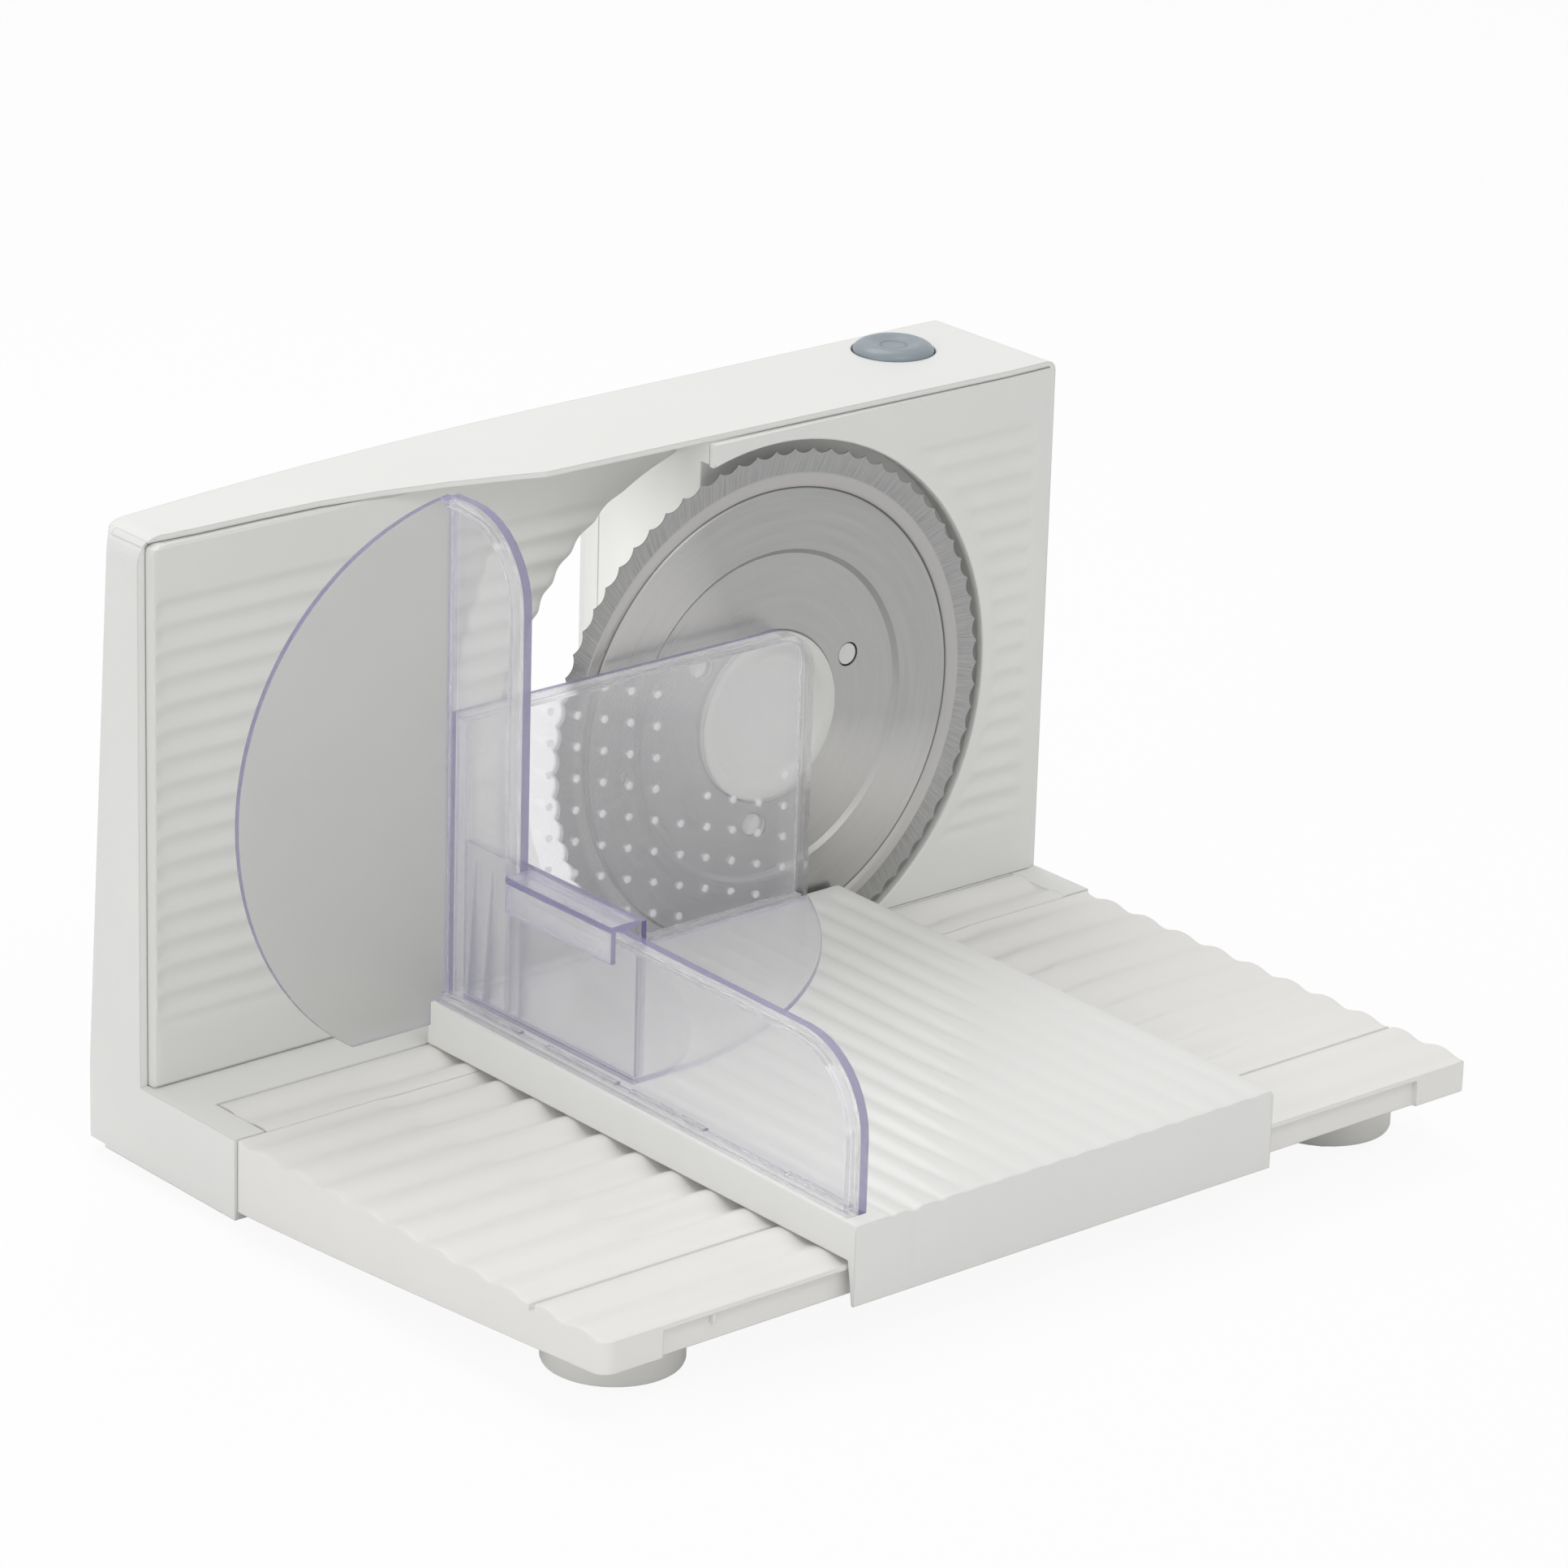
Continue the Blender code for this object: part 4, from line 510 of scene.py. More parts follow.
def make_blade(bm):
    around = TEETH * 10
    radii = [0.0818, GRIND_INNER, GRIND_INNER - 0.0004, 0.0750, RIDGE_INNER + 0.0006, RIDGE_INNER]
    radii += [RIDGE_INNER - 0.0007, RIDGE_INNER - 0.0030, 0.065, 0.059, STEP_RADIUS + 0.0012]
    radii += [STEP_RADIUS + 0.0006, STEP_RADIUS - 0.0010, 0.050, 0.040, BORE_RADIUS]
    turns = [2 * pi * i / around for i in range(around)]
    sides = []
    for behind in (0.0, SHEET):
        edge_back = SHEET * 0.3 if behind else 0.0
        rings = [[bm.verts.new(polar(tooth_rim(t), t, CUT_SETBACK + edge_back)) for t in turns]]
        for r in radii:
            rings.append([bm.verts.new(polar(r, t, blade_face(r) + behind)) for t in turns])
        sides.append(rings)
    walls = list(zip(sides[0], sides[0][1:])) + list(zip(sides[1], sides[1][1:]))
    walls += [(sides[0][0], sides[1][0]), (sides[0][-1], sides[1][-1])]
    for one, two in walls:
        for i in range(around):
            j = (i + 1) % around
            bm.faces.new((one[i], one[j], two[j], two[i]))


def cut_holes(piece, centres, radius, reach):
    """Cuts round holes along Y through a piece, with helper rods that are then taken away."""
    rod = dict(cap_ends=True, segments=48, radius1=radius, radius2=radius, depth=reach)
    for x, z in centres:
        bm = bmesh.new()
        bmesh.ops.create_cone(bm, **rod)
        bmesh.ops.rotate(bm, verts=bm.verts, matrix=Matrix.Rotation(pi / 2, 3, "X"))
        bmesh.ops.translate(bm, verts=bm.verts, vec=CENTRE + Vector((x, 0.0, z)))
        tool_mesh = bpy.data.meshes.new("hole")
        bm.to_mesh(tool_mesh)
        bm.free()
        tool = bpy.data.objects.new("hole", tool_mesh)
        bpy.context.scene.collection.objects.link(tool)
        change = piece.modifiers.new("hole", "BOOLEAN")
        change.solver = "EXACT"
        change.object = tool
        graph = bpy.context.evaluated_depsgraph_get()
        mesh = bpy.data.meshes.new_from_object(piece.evaluated_get(graph))
        piece.modifiers.clear()
        piece.data = mesh
        bpy.data.objects.remove(tool, do_unlink=True)


def brushed_blade():
    """Steel brushed in circles, with radial grinding on the outer band, two painted highlight fans and
    painted shade lines in the groove inside the bevel and round the hub.
    """
    made = Finish("brushed_blade", Metallic=1.0)
    x, _, z = made.part_of(made.place())
    radius = (x * x + z * z) ** 0.5
    turn = x.join("ARCTAN2", z, x)
    along = made.point(radius * 3000.0, turn * 2.2, 0.0)
    rings = made.noise(along, 1.0, 4.0, 0.65)
    broad = made.noise(made.point(radius * 420.0, turn * 1.4, 3.0), 1.0, 3.0)
    spokes = made.noise(made.point(turn * 130.0 + radius * 420.0, radius * 60.0, 7.0), 1.0, 4.0, 0.7)
    ground = made.stretch(radius, GRIND_INNER - 0.0002, GRIND_INNER + 0.0002)
    # Painted highlight: two paler fans across the disc, set by angle, in place of the reflections that
    # circular brushing catches.
    painted_highlight = x.join("COSINE", (turn - PAINTED_HIGHLIGHT_TURN) * 2.0)
    painted_highlight = made.stretch(painted_highlight, 0.55, 1.0)
    dish = made.stretch(radius, STEP_RADIUS + 0.0006, STEP_RADIUS - 0.0006)
    bevel = made.stretch(radius, RIDGE_INNER + 0.0002, RIDGE_INNER + 0.0010) * (1.0 - ground)
    # Painted shade: a thin dark line in the groove at the ridge, and another in the gap just outside the
    # hub cap.
    painted_shade_line = 1.0 - made.stretch(x.join("ABSOLUTE", radius - RIDGE_INNER), 0.0001, 0.0004)
    painted_shade_line = x.join("MAXIMUM", painted_shade_line, 1.0 - made.stretch(radius, HUB_SHADE_LINE - 0.0002, HUB_SHADE_LINE + 0.0002))
    grey = made.mix(broad, (0.38, 0.38, 0.375), (0.47, 0.47, 0.465))
    grey = made.mix(painted_highlight * 0.5, grey, (0.68, 0.67, 0.65))
    grey = made.mix(dish * 0.25, grey, (0.50, 0.495, 0.49))
    grey = made.mix(bevel * 0.6, grey, (0.51, 0.495, 0.48))
    grey = made.mix(painted_shade_line * 0.8, grey, (0.12, 0.12, 0.12))
    band = made.mix(made.stretch(spokes, 0.3, 0.75), (0.31, 0.31, 0.31), (0.49, 0.49, 0.485))
    made.wear(Base_Color=made.mix(ground, grey, band))
    made.wear(Roughness=made.stretch(rings, 0.25, 0.75, 0.24, 0.40) + ground * 0.1)
    height = rings * (1.0 - ground) + spokes * ground * 1.4
    made.wear(Normal=made.bump(height, 0.00003, 0.8))
    return made


blade_steel = brushed_blade()
blade_disc = make_piece(
    "brushed_blade", make_blade, blade_steel, "blade_drive", ["blade"], 0.5
)
drive_holes = []
for k in range(3):
    hole_turn = HOLE_TURN + 2 * pi * k / 3
    drive_holes.append((HOLE_CIRCLE * cos(hole_turn), HOLE_CIRCLE * sin(hole_turn)))
cut_holes(blade_disc, drive_holes, HOLE_RADIUS, 0.02)

HUB_RADIUS = 0.0270
HUB_FRONT = 0.0002
PEG_RADIUS = HOLE_RADIUS - 0.0004


def lathe(bm, profile, segments, centre=(0.0, 0.0, 0.0), axis="Y"):
    """Turns a profile of (radius, along) pairs round Y or Z. Zero radii close to one point."""

    def spot(radius, along, t):
        a, b = radius * cos(t), radius * sin(t)
        raw = (a, along, b) if axis == "Y" else (a, b, along)
        return tuple(p + c for p, c in zip(raw, centre))

    rings = []
    for radius, along in profile:
        if radius < 1e-7:
            rings.append([bm.verts.new(spot(0.0, along, 0.0))])
        else:
            turns = [2 * pi * i / segments for i in range(segments)]
            rings.append([bm.verts.new(spot(radius, along, t)) for t in turns])
    for one, two in zip(rings, rings[1:]):
        for i in range(segments):
            j = (i + 1) % segments
            if len(one) == 1:
                bm.faces.new((one[0], two[j], two[i]))
            elif len(two) == 1:
                bm.faces.new((one[i], one[j], two[0]))
            else:
                bm.faces.new((one[i], one[j], two[j], two[i]))


def make_hub(bm):
    """A white cap with a flat rim round a shallow dish."""
    front = HUB_FRONT
    profile = [(0.0, front + 0.0028), (0.0185, front + 0.0028), (0.0204, front + 0.0024)]
    profile += [(0.0216, front + 0.0014), (0.0224, front + 0.0004), (0.0232, front)]
    profile += [(HUB_RADIUS - 0.0010, front), (HUB_RADIUS - 0.0003, front + 0.0003)]
    profile += [(HUB_RADIUS, front + 0.0010), (HUB_RADIUS, front + 0.0029), (0.0, front + 0.0029)]
    lathe(bm, profile, 128)


hub_white = moulded_white("hub_white", (0.70, 0.70, 0.675), edge=0)
make_piece("hub_cap_disc", make_hub, hub_white, "blade_drive", ["hub_cap"])


def make_pegs(bm):
    """The hub behind the blade drives it by three round pegs that fill its holes."""
    for x, z in drive_holes:
        peg = [(0.0, 0.0019), (PEG_RADIUS - 0.0002, 0.0019), (PEG_RADIUS, 0.0022)]
        peg += [(PEG_RADIUS, 0.0050), (0.0, 0.0050)]
        lathe(bm, peg, 40, (x, 0.0, z))


make_piece("drive_pegs", make_pegs, hub_white, "blade_drive", ())


# The button is a blue-grey moulding with a shallow finger dish, in a round hole in the top. A
# plain ring is sunk in the dish.
button_low, button_high = solid_box("push_button")
button_middle = (button_low + button_high) / 2
BUTTON_RADIUS = (button_high.x - button_low.x) / 2
BUTTON_RING = 0.0040
BUTTON_STEM = 0.0028
BUTTON_WALL = 0.0012


def make_button(bm):
    """The spring fits in the hollow under the dome, round the stem that works the switch."""
    dome = ((0.0, 0.0014), (0.18, 0.00136), (0.34, 0.0011), (0.50, 0.0005), (0.60, 0.0001), (0.68, 0.0))
    brow = ((0.78, 0.0002), (0.88, 0.0008), (0.95, 0.0015), (0.99, 0.0024), (1.0, 0.0032))
    profile = [(BUTTON_RADIUS * share, button_high.z - drop) for share, drop in dome + brow]
    skirt = button_low.z + 0.0040
    roof = skirt + 0.0042
    inside = BUTTON_RADIUS - BUTTON_WALL
    profile += [(BUTTON_RADIUS, skirt), (inside, skirt), (inside, roof), (BUTTON_STEM, roof)]
    profile += [(BUTTON_STEM, button_low.z), (0.0, button_low.z)]
    lathe(bm, profile, 96, (button_middle.x, button_middle.y, 0.0), "Z")


def button_finish():
    """Semi-gloss plastic with a faint sunk ring."""
    made = Finish("button_grey", Specular_IOR_Level=0.5)
    x, y, _ = made.part_of(made.place())
    dx, dy = x - button_middle.x, y - button_middle.y
    reach = (dx * dx + dy * dy) ** 0.5
    mark = 1.0 - made.stretch(x.join("ABSOLUTE", reach - BUTTON_RING), 0.0002, 0.0006)
    grain = made.noise(made.place(), 900.0)
    made.wear(Base_Color=made.mix(mark * 0.5, (0.27, 0.315, 0.345), (0.12, 0.15, 0.17)))
    made.wear(Roughness=made.stretch(grain, 0.3, 0.7, 0.30, 0.38))
    made.wear(Normal=made.bump(grain, 0.00001, Normal=made.bump(1.0 - mark, 0.0001)))
    return made


make_piece(
    "button_dome", make_button, button_finish(), "button", ["push_button"]
)
dress(Finish("switch_black", Base_Color=(0.03, 0.03, 0.032), Roughness=0.5), "switch")


# The platform folds down in front of the housing. It is a thin white moulding with level waves
# across it, deeper in the middle field, a guide groove near the front, and plain side walls.
platform_low, platform_high = solid_box("platform")
WAVE_PITCH = 0.0162
WAVE_VALLEY = -0.0291
WAVE_DEPTH = 0.0014
FIELD_DEPTH = 0.0012
CORNER_RADII = (0.0045, 0.0018)
LIP = 0.0026
FIELD_LEFT = -0.171
FIELD_RIGHT = 0.067
FIELD_BACK = -0.010
DECK = -0.0753
GROOVE = -0.1618
GROOVE_DEPTH = 0.0016
SHEET_DEPTH = 0.0052
TONGUE_FRONT = -0.0248
TONGUE_BACK = -0.0004
TONGUE_INSETS = (0.0104, 0.0094)
FRONT_WALL_INSET = 0.0190
TAB_X = -0.1787
SIDE_WALL = 0.0024
SIDE_WALL_FOOT = -0.0984
SIDE_WALL_RISE = 0.0123
SIDE_WALL_BACK = -0.0245
SIDE_WALL_FRONT = -0.1935
CORNER_REACH = 0.0140
CORNER_BLOCK = 0.0209
platform_white = moulded_white("platform_white", (0.86, 0.85, 0.825), edge=0.0007)


def platform_height(x, y):
    phase = 2 * pi * (y - WAVE_VALLEY) / WAVE_PITCH
    wave = (0.5 + 0.5 * cos(phase)) ** 1.3
    inside = plateau(x, FIELD_LEFT, FIELD_RIGHT, 0.008) * plateau(y, GROOVE + 0.004, FIELD_BACK, 0.006)
    scoop = max(0.0, wave - (1 - inside) * 1.1)
    height = DECK - WAVE_DEPTH * wave - FIELD_DEPTH * scoop
    if abs(y - GROOVE) < 0.0010:
        height -= GROOVE_DEPTH
    return height


def side_wall_foot(y):
    """The side walls' foot rises towards the front."""
    share = (SIDE_WALL_BACK - y) / (SIDE_WALL_BACK - SIDE_WALL_FRONT)
    return SIDE_WALL_FOOT + SIDE_WALL_RISE * max(0.0, share) ** 1.15


def make_platform_top(bm):
    """The waved sheet with its side walls and front corner blocks. Between the blocks, its front
    edge is a thin lip."""
    left, right, front = platform_low.x, platform_high.x, platform_low.y
    roll = PLATE_ROLL
    xs = [left + s for s in (0.0, 0.0003, roll, 0.0025, 0.0065, CORNER_REACH, 0.0200, 0.0208)]
    mirrored_xs = [left + right - x for x in reversed(xs)]
    xs += spread(left + CORNER_BLOCK, right - CORNER_BLOCK, 90) + mirrored_xs
    ys = [front + s for s in (0.0, 0.0003, roll, 0.0014, SIDE_WALL)]
    ys += spread(front + 0.0040, TONGUE_FRONT, 200)
    ys += [GROOVE + s for s in (-0.00105, -0.0009, 0.0009, 0.00105)]
    rows = []
    for y in sorted(ys):
        gap = y - front
        pulls = [c - sqrt(max(0.0, c**2 - max(0.0, c - gap) ** 2)) for c in CORNER_RADII]
        row = []
        for x in xs:
            px = x + pulls[0] * max(0.0, 1 - (x - left) / CORNER_REACH)
            px -= pulls[1] * max(0.0, 1 - (right - x) / CORNER_REACH)
            sink = rolled(x - left, roll) + rolled(right - x, roll) + rolled(gap, roll)
            row.append((px, y, platform_height(px, y) - sink))
        rows.append(row)

    def low(co):
        side = min(co.x - left, right - co.x)
        if side < SIDE_WALL or (side < CORNER_BLOCK - 0.00005 and co.y < front + SIDE_WALL):
            return (co.x, co.y, side_wall_foot(co.y))
        return (co.x, co.y, DECK - (LIP if co.y < front + 0.0030 else SHEET_DEPTH))

    close_sheet(bm, rows, low)


def make_platform_wall(bm):
    """The front wall, set back under the lip, with a small moulded tab."""
    left, right = platform_low.x + FRONT_WALL_INSET, platform_high.x - FRONT_WALL_INSET
    recess = platform_low.y + 0.0016
    top = DECK - LIP + 0.0002
    for x0, x1, y0, y1, z0 in (
        (left, right, recess, recess + 0.0022, side_wall_foot(recess)),
        (TAB_X - 0.0007, TAB_X + 0.0007, recess - 0.0012, recess + 0.0001, top - 0.0032),
    ):
        around = ((x0, y0), (x1, y0), (x1, y1), (x0, y1))
        box = [bm.verts.new((x, y, z)) for z in (z0, top) for x, y in around]
        for face in ((0, 1, 2, 3), (4, 5, 6, 7), (0, 1, 5, 4), (1, 2, 6, 5), (2, 3, 7, 6), (3, 0, 4, 7)):
            bm.faces.new([box[k] for k in face])


make_piece(
    "platform_waves", make_platform_top, platform_white, "base", ["platform"]
)
make_piece(
    "platform_wall", make_platform_wall, platform_white, "base", (), 0.5
)


def make_tongue(bm):
    """The platform's back, between the housing's arms, with its own last waves."""
    xs = spread(platform_low.x + TONGUE_INSETS[0], platform_high.x - TONGUE_INSETS[1], 60)
    ys = spread(TONGUE_FRONT, TONGUE_BACK, 30)
    rows = [[(x, y, platform_height(x, y)) for x in xs] for y in ys]
    close_sheet(bm, rows, lambda co: (co.x, co.y, DECK - SHEET_DEPTH))


make_piece("platform_tongue", make_tongue, platform_white, "base", ())

foot_white = moulded_white("foot_white", (0.84, 0.835, 0.81), edge=0.0006)
for node in ("left_platform_foot", "right_platform_foot"):
    foot_low, foot_high = solid_box(node)
    foot_radius = (foot_high.x - foot_low.x) / 2
    foot_middle = ((foot_low.x + foot_high.x) / 2, (foot_low.y + foot_high.y) / 2, 0.0)

    def make_foot(bm):
        """A round cup foot with a softened lower edge."""
        low, high = foot_low.z, foot_high.z
        profile = [(0.0, low), (foot_radius - 0.0010, low), (foot_radius - 0.0003, low + 0.0003)]
        profile += [(foot_radius, low + 0.0010), (foot_radius, high), (0.0, high)]
        lathe(bm, profile, 128, foot_middle, "Z")

    make_piece(f"{node}_cup", make_foot, foot_white, "base", [node], 0.5)


# Dark rubber pads lie under the platform's feet, and four rubber feet under the housing. Some other
# plain materials inside the slicer are clouded between two colours in the same way.
def clouded(name, scale, dark, light, grain=0.0, detail=2.0):
    """A finish that is uneven between two colours, some with a grain that can be felt."""
    made = Finish(name)
    clouds = made.noise(made.place(), scale, detail)
    made.wear(Base_Color=made.mix(clouds, dark, light))
    if grain:
        made.wear(Normal=made.bump(clouds, grain))
    return made


rubber = clouded("grey_rubber", 700.0, (0.06, 0.06, 0.062), (0.10, 0.10, 0.10), 0.00008, 3.0)
rubber.wear(Roughness=0.85, Specular_IOR_Level=0.3)
dress(rubber, "left_foot_pad", "right_foot_pad", "left_front_rubber", "left_back_rubber")
dress(rubber, "right_front_rubber", "right_back_rubber")


# The carriage slides over the platform. Its top has ribs along the cut that run out through the
# front edge, a plain strip on the left under the guard, and a deep apron at the front.
carriage_low, carriage_high = solid_box("carriage")
RIB_PITCH = 0.01006
RIB_START = -0.1195
RIB_HOLLOW = 0.0003
POINT_DEPTH = 0.0009
SLANT = -0.1098
CARRIAGE_ROLL = 0.0009
CARRIAGE_FALL = 0.0022
CARRIAGE_FOOT = -0.0748
carriage_white = moulded_white("carriage_white", WHITE, edge=0.0006)


def carriage_top(y):
    share = (carriage_high.y - y) / (carriage_high.y - carriage_low.y)
    return carriage_high.z - CARRIAGE_FALL * share


def carriage_sink(x, y):
    """Shallow hollows between the ribs. A second, deeper set behind them ends in points along a
    line that runs slantwise over the top."""
    if x < RIB_START:
        return 0.0
    phase = 2 * pi * (x - RIB_START) / RIB_PITCH
    fade = smooth_step(x, RIB_START, RIB_START + 0.003)
    fade *= 1 - smooth_step(x, carriage_high.x - 0.006, carriage_high.x - 0.002)
    fade *= 1 - smooth_step(y, -0.014, -0.006)
    hollow = (0.5 + 0.5 * cos(phase)) ** 1.5
    near = smooth_step(y - x, SLANT, SLANT + 0.035)
    point = max(0.0, hollow - (1 - near) * 1.1)
    return (RIB_HOLLOW * hollow + POINT_DEPTH * point) * fade


def make_carriage(bm):
    left, right = carriage_low.x, carriage_high.x
    front, back = carriage_low.y, carriage_high.y
    roll = CARRIAGE_ROLL
    xs = [left, left + 0.0003, left + roll] + spread(left + 0.004, right - 0.004, 190)
    xs += [right - roll, right - 0.0003, right]
    ys = [front, front + 0.0003] + spread(front + roll, back - roll, 90) + [back - 0.0003, back]
    rows = []
    for y in ys:
        row = []
        for x in xs:
            sink = carriage_sink(x, y)
            for edge in (x - left, right - x, y - front, back - y):
                sink += rolled(edge, roll)
            row.append((x, y, carriage_top(y) - sink))
        rows.append(row)

    def low(co):
        return (co.x, co.y, carriage_low.z if co.y < front + 2 * roll else CARRIAGE_FOOT)

    close_sheet(bm, rows, low)


make_piece(
    "ribbed_carriage", make_carriage, carriage_white, "table", ["carriage"]
)


# The guard is one clear violet moulding: a flanged panel that stands on the carriage, tall at the
# blade and low in front, and a round hand shield across its back. Its faces are lightly frosted
# and its edges polished, so that the edges look darker.
guard_high = solid_box("guard")[1]


def clear_violet(name, colour, roughness, grain, cover, through=1.0):
    """Clear plastic with a trace of clouding and the grain that its mould leaves. What it doesn't
    cover lets light straight through, as thin clear plastic does."""
    made = Finish(name, Transmission_Weight=through, IOR=1.45, Alpha=cover)
    haze = made.stretch(made.noise(made.place(), 30.0, 3.0), 0.3, 0.7)
    made.wear(Base_Color=made.mix(haze, tuple(c * 0.97 for c in colour), colour))
    made.wear(Roughness=haze * (roughness * 0.2) + roughness * 0.9)
    made.wear(Normal=made.bump(made.noise(made.place(), 1500.0), grain))
    return made


clear_face = clear_violet("clear_face", (0.97, 0.965, 1.0), 0.14, 0.00001, 0.60, 0.86)
clear_shield = clear_violet("clear_shield", (0.86, 0.86, 0.87), 0.32, 0.00001, 0.85, 0.97)
clear_edge = clear_violet("clear_edge", (0.28, 0.26, 0.48), 0.18, 0.00001, 0.85, 0.55)
clear_rim = clear_violet("clear_rim", (0.98, 0.98, 1.0), 0.05, 0.000004, 0.55)
clear_spike = clear_violet("clear_spike", (0.97, 0.97, 1.0), 0.10, 0.000004, 1.0, 0.35)
clear_deep = clear_violet("clear_deep", (0.10, 0.09, 0.24), 0.18, 0.00001, 1.0, 0.25)
FACE, EDGE, RIM, DEEP = range(4)
CLEAR = [clear_face, clear_edge, clear_rim, clear_deep]


def clear_piece(name, fill, body, replaced=(), rounding=0.0, finish=CLEAR, smooth=0.5):
    """A moulding so thin and clear that it barely dims what lies behind or under it. Its rounded
    edges catch the light as fine bright lines."""
    piece = make_piece(name, fill, finish, body, replaced, smooth)
    piece.visible_shadow = False
    piece.visible_diffuse = False
    if rounding:
        change = piece.modifiers.new("rounding", "BEVEL")
        change.width = rounding
        change.segments = 2
        change.limit_method = "ANGLE"
        change.angle_limit = 0.5


def round_path(corners):
    """A closed outline from (across, up, radius) corners, each rounded to its radius."""
    points = []
    count = len(corners)
    for i, (x, y, radius) in enumerate(corners):
        if radius <= 0:
            points.append((x, y))
            continue
        before = Vector(corners[i - 1][:2]) - Vector((x, y))
        after = Vector(corners[(i + 1) % count][:2]) - Vector((x, y))
        before.normalize()
        after.normalize()
        half = before.angle(after) / 2
        middle = Vector((x, y)) + (before + after).normalized() * (radius / sin(half))
        start = Vector((x, y)) + before * (radius / tan(half)) - middle
        end = Vector((x, y)) + after * (radius / tan(half)) - middle
        first = atan2(start.y, start.x)
        turn_by = atan2(end.y, end.x) - first
        turn_by = (turn_by + pi) % (2 * pi) - pi
        for t in spread(first, first + turn_by, 10):
            points.append((middle.x + radius * cos(t), middle.y + radius * sin(t)))
    return points


def inset_corners(corners, amount):
    """The same corners drawn in by an amount, for the inside of a rim."""
    flat = [Vector(c[:2]) for c in corners]
    area = sum(a.x * b.y - b.x * a.y for a, b in zip(flat, flat[1:] + flat[:1]))
    turn = 1 if area > 0 else -1
    made = []
    for i, (x, y, radius) in enumerate(corners):
        before = (flat[i] - flat[i - 1]).normalized()
        after = (flat[(i + 1) % len(flat)] - flat[i]).normalized()
        n1 = Vector((-before.y, before.x)) * turn
        n2 = Vector((-after.y, after.x)) * turn
        mitre = (n1 + n2) / (1 + n1.dot(n2))
        convex = (before.x * after.y - before.y * after.x) * turn > 0
        grown = radius - amount if convex else radius + amount
        made.append((x + mitre.x * amount, y + mitre.y * amount, max(grown, 0.0) if radius else 0.0))
    return made


def loft(bm, rings, sides=(EDGE, FACE, EDGE, FACE), caps=EDGE):
    """A solid through rings of points, with a material for each side and for the ends. Without
    caps, the last ring has to be the first again."""
    made = [[bm.verts.new(point) for point in ring] for ring in rings]
    count = len(made[0])
    for one, two in zip(made, made[1:]):
        for i in range(count):
            j = (i + 1) % count
            bm.faces.new((one[i], one[j], two[j], two[i])).material_index = sides[i % len(sides)]
    if caps is not None:
        bm.faces.new(made[0]).material_index = caps
        bm.faces.new(made[-1]).material_index = caps


def rimmed_sheet(bm, corners, place, start, floor, end, rim, open_side=False):
    """A flat sheet with a raised rim round it, which leaves out the outline's first side if that is
    open. Place gives a point from (across, up, depth)."""
    outer = round_path(corners)
    inner = round_path(inset_corners(corners, rim))
    sides = [EDGE] * (len(outer) - 1) + [DEEP]
    loft(bm, [[place(a, b, d) for a, b in outer] for d in (floor, end)], sides=sides, caps=FACE)
    root = floor + (start - floor) * 0.02
    sections = []
    for out, into in zip(outer, inner):
        sections.append([place(*out, start), place(*into, start), place(*into, root), place(*out, root)])
    if open_side:
        loft(bm, sections[1:] + sections[:1], sides=(RIM,), caps=EDGE)
    else:
        loft(bm, sections + sections[:1], sides=(RIM,), caps=None)


def beam(bm, x, back, front, **finish):
    """A straight bar along Y. The ends are (y, lowest z, highest z)."""
    rings = []
    for y, low, high in (back, front):
        rings.append([(x[0], y, low), (x[1], y, low), (x[1], y, high), (x[0], y, high)])
    loft(bm, rings, **finish)


GUARD_BACK_Y = -0.0036
GUARD_TALL_Y = -0.0385
GUARD_WALL_Z = -0.0125
GUARD_NOSE_Y = -0.1922
PANEL_FACE = -0.1267
PANEL_BACK = -0.1236
GUARD_RIM = -0.1306
RIM_WIDTH = 0.0020
STEP_FACE = -0.1290
STEP_TOP = 0.0030


def guard_foot(y):
    """The guard stands on the carriage's strip, which falls towards the front."""
    return carriage_top(y) + 0.0003


def make_guard_panel(bm):
    """The panel and, along its foot, two low steps. Clips break the upper step."""
    corners = [
        (GUARD_BACK_Y, guard_foot(GUARD_BACK_Y), 0.0),
        (GUARD_BACK_Y, guard_high.z, 0.0),
        (GUARD_TALL_Y, guard_high.z, 0.026),
        (GUARD_TALL_Y, GUARD_WALL_Z, 0.004),
        (GUARD_NOSE_Y, GUARD_WALL_Z - 0.0024, 0.026),
        (GUARD_NOSE_Y, guard_foot(GUARD_NOSE_Y), 0.0),
    ]
    depths = (GUARD_RIM, PANEL_FACE, PANEL_BACK)
    rimmed_sheet(bm, corners, lambda a, b, d: (d, a, b), *depths, RIM_WIDTH, open_side=True)
    steps = ((-0.0045, -0.0420), (-0.0540, -0.0870), (-0.0930, -0.1270), (-0.1630, -0.1895))
    for step in steps:
        ends = [(y, guard_foot(y) + RIM_WIDTH + 0.0001, guard_foot(y) + STEP_TOP) for y in step]
        beam(bm, (STEP_FACE, PANEL_FACE - 0.0001), *ends, sides=(RIM,), caps=EDGE)


clear_piece("guard_panel", make_guard_panel, "table", ["guard"], rounding=0.00025)

SHIELD_X = -0.1142
SHIELD_Z = 0.0093
SHIELD_RADIUS = 0.0880
SHIELD_DROOP = 1.04
SHIELD_FOOT = -0.0684
SHIELD_SHEET = 0.0020


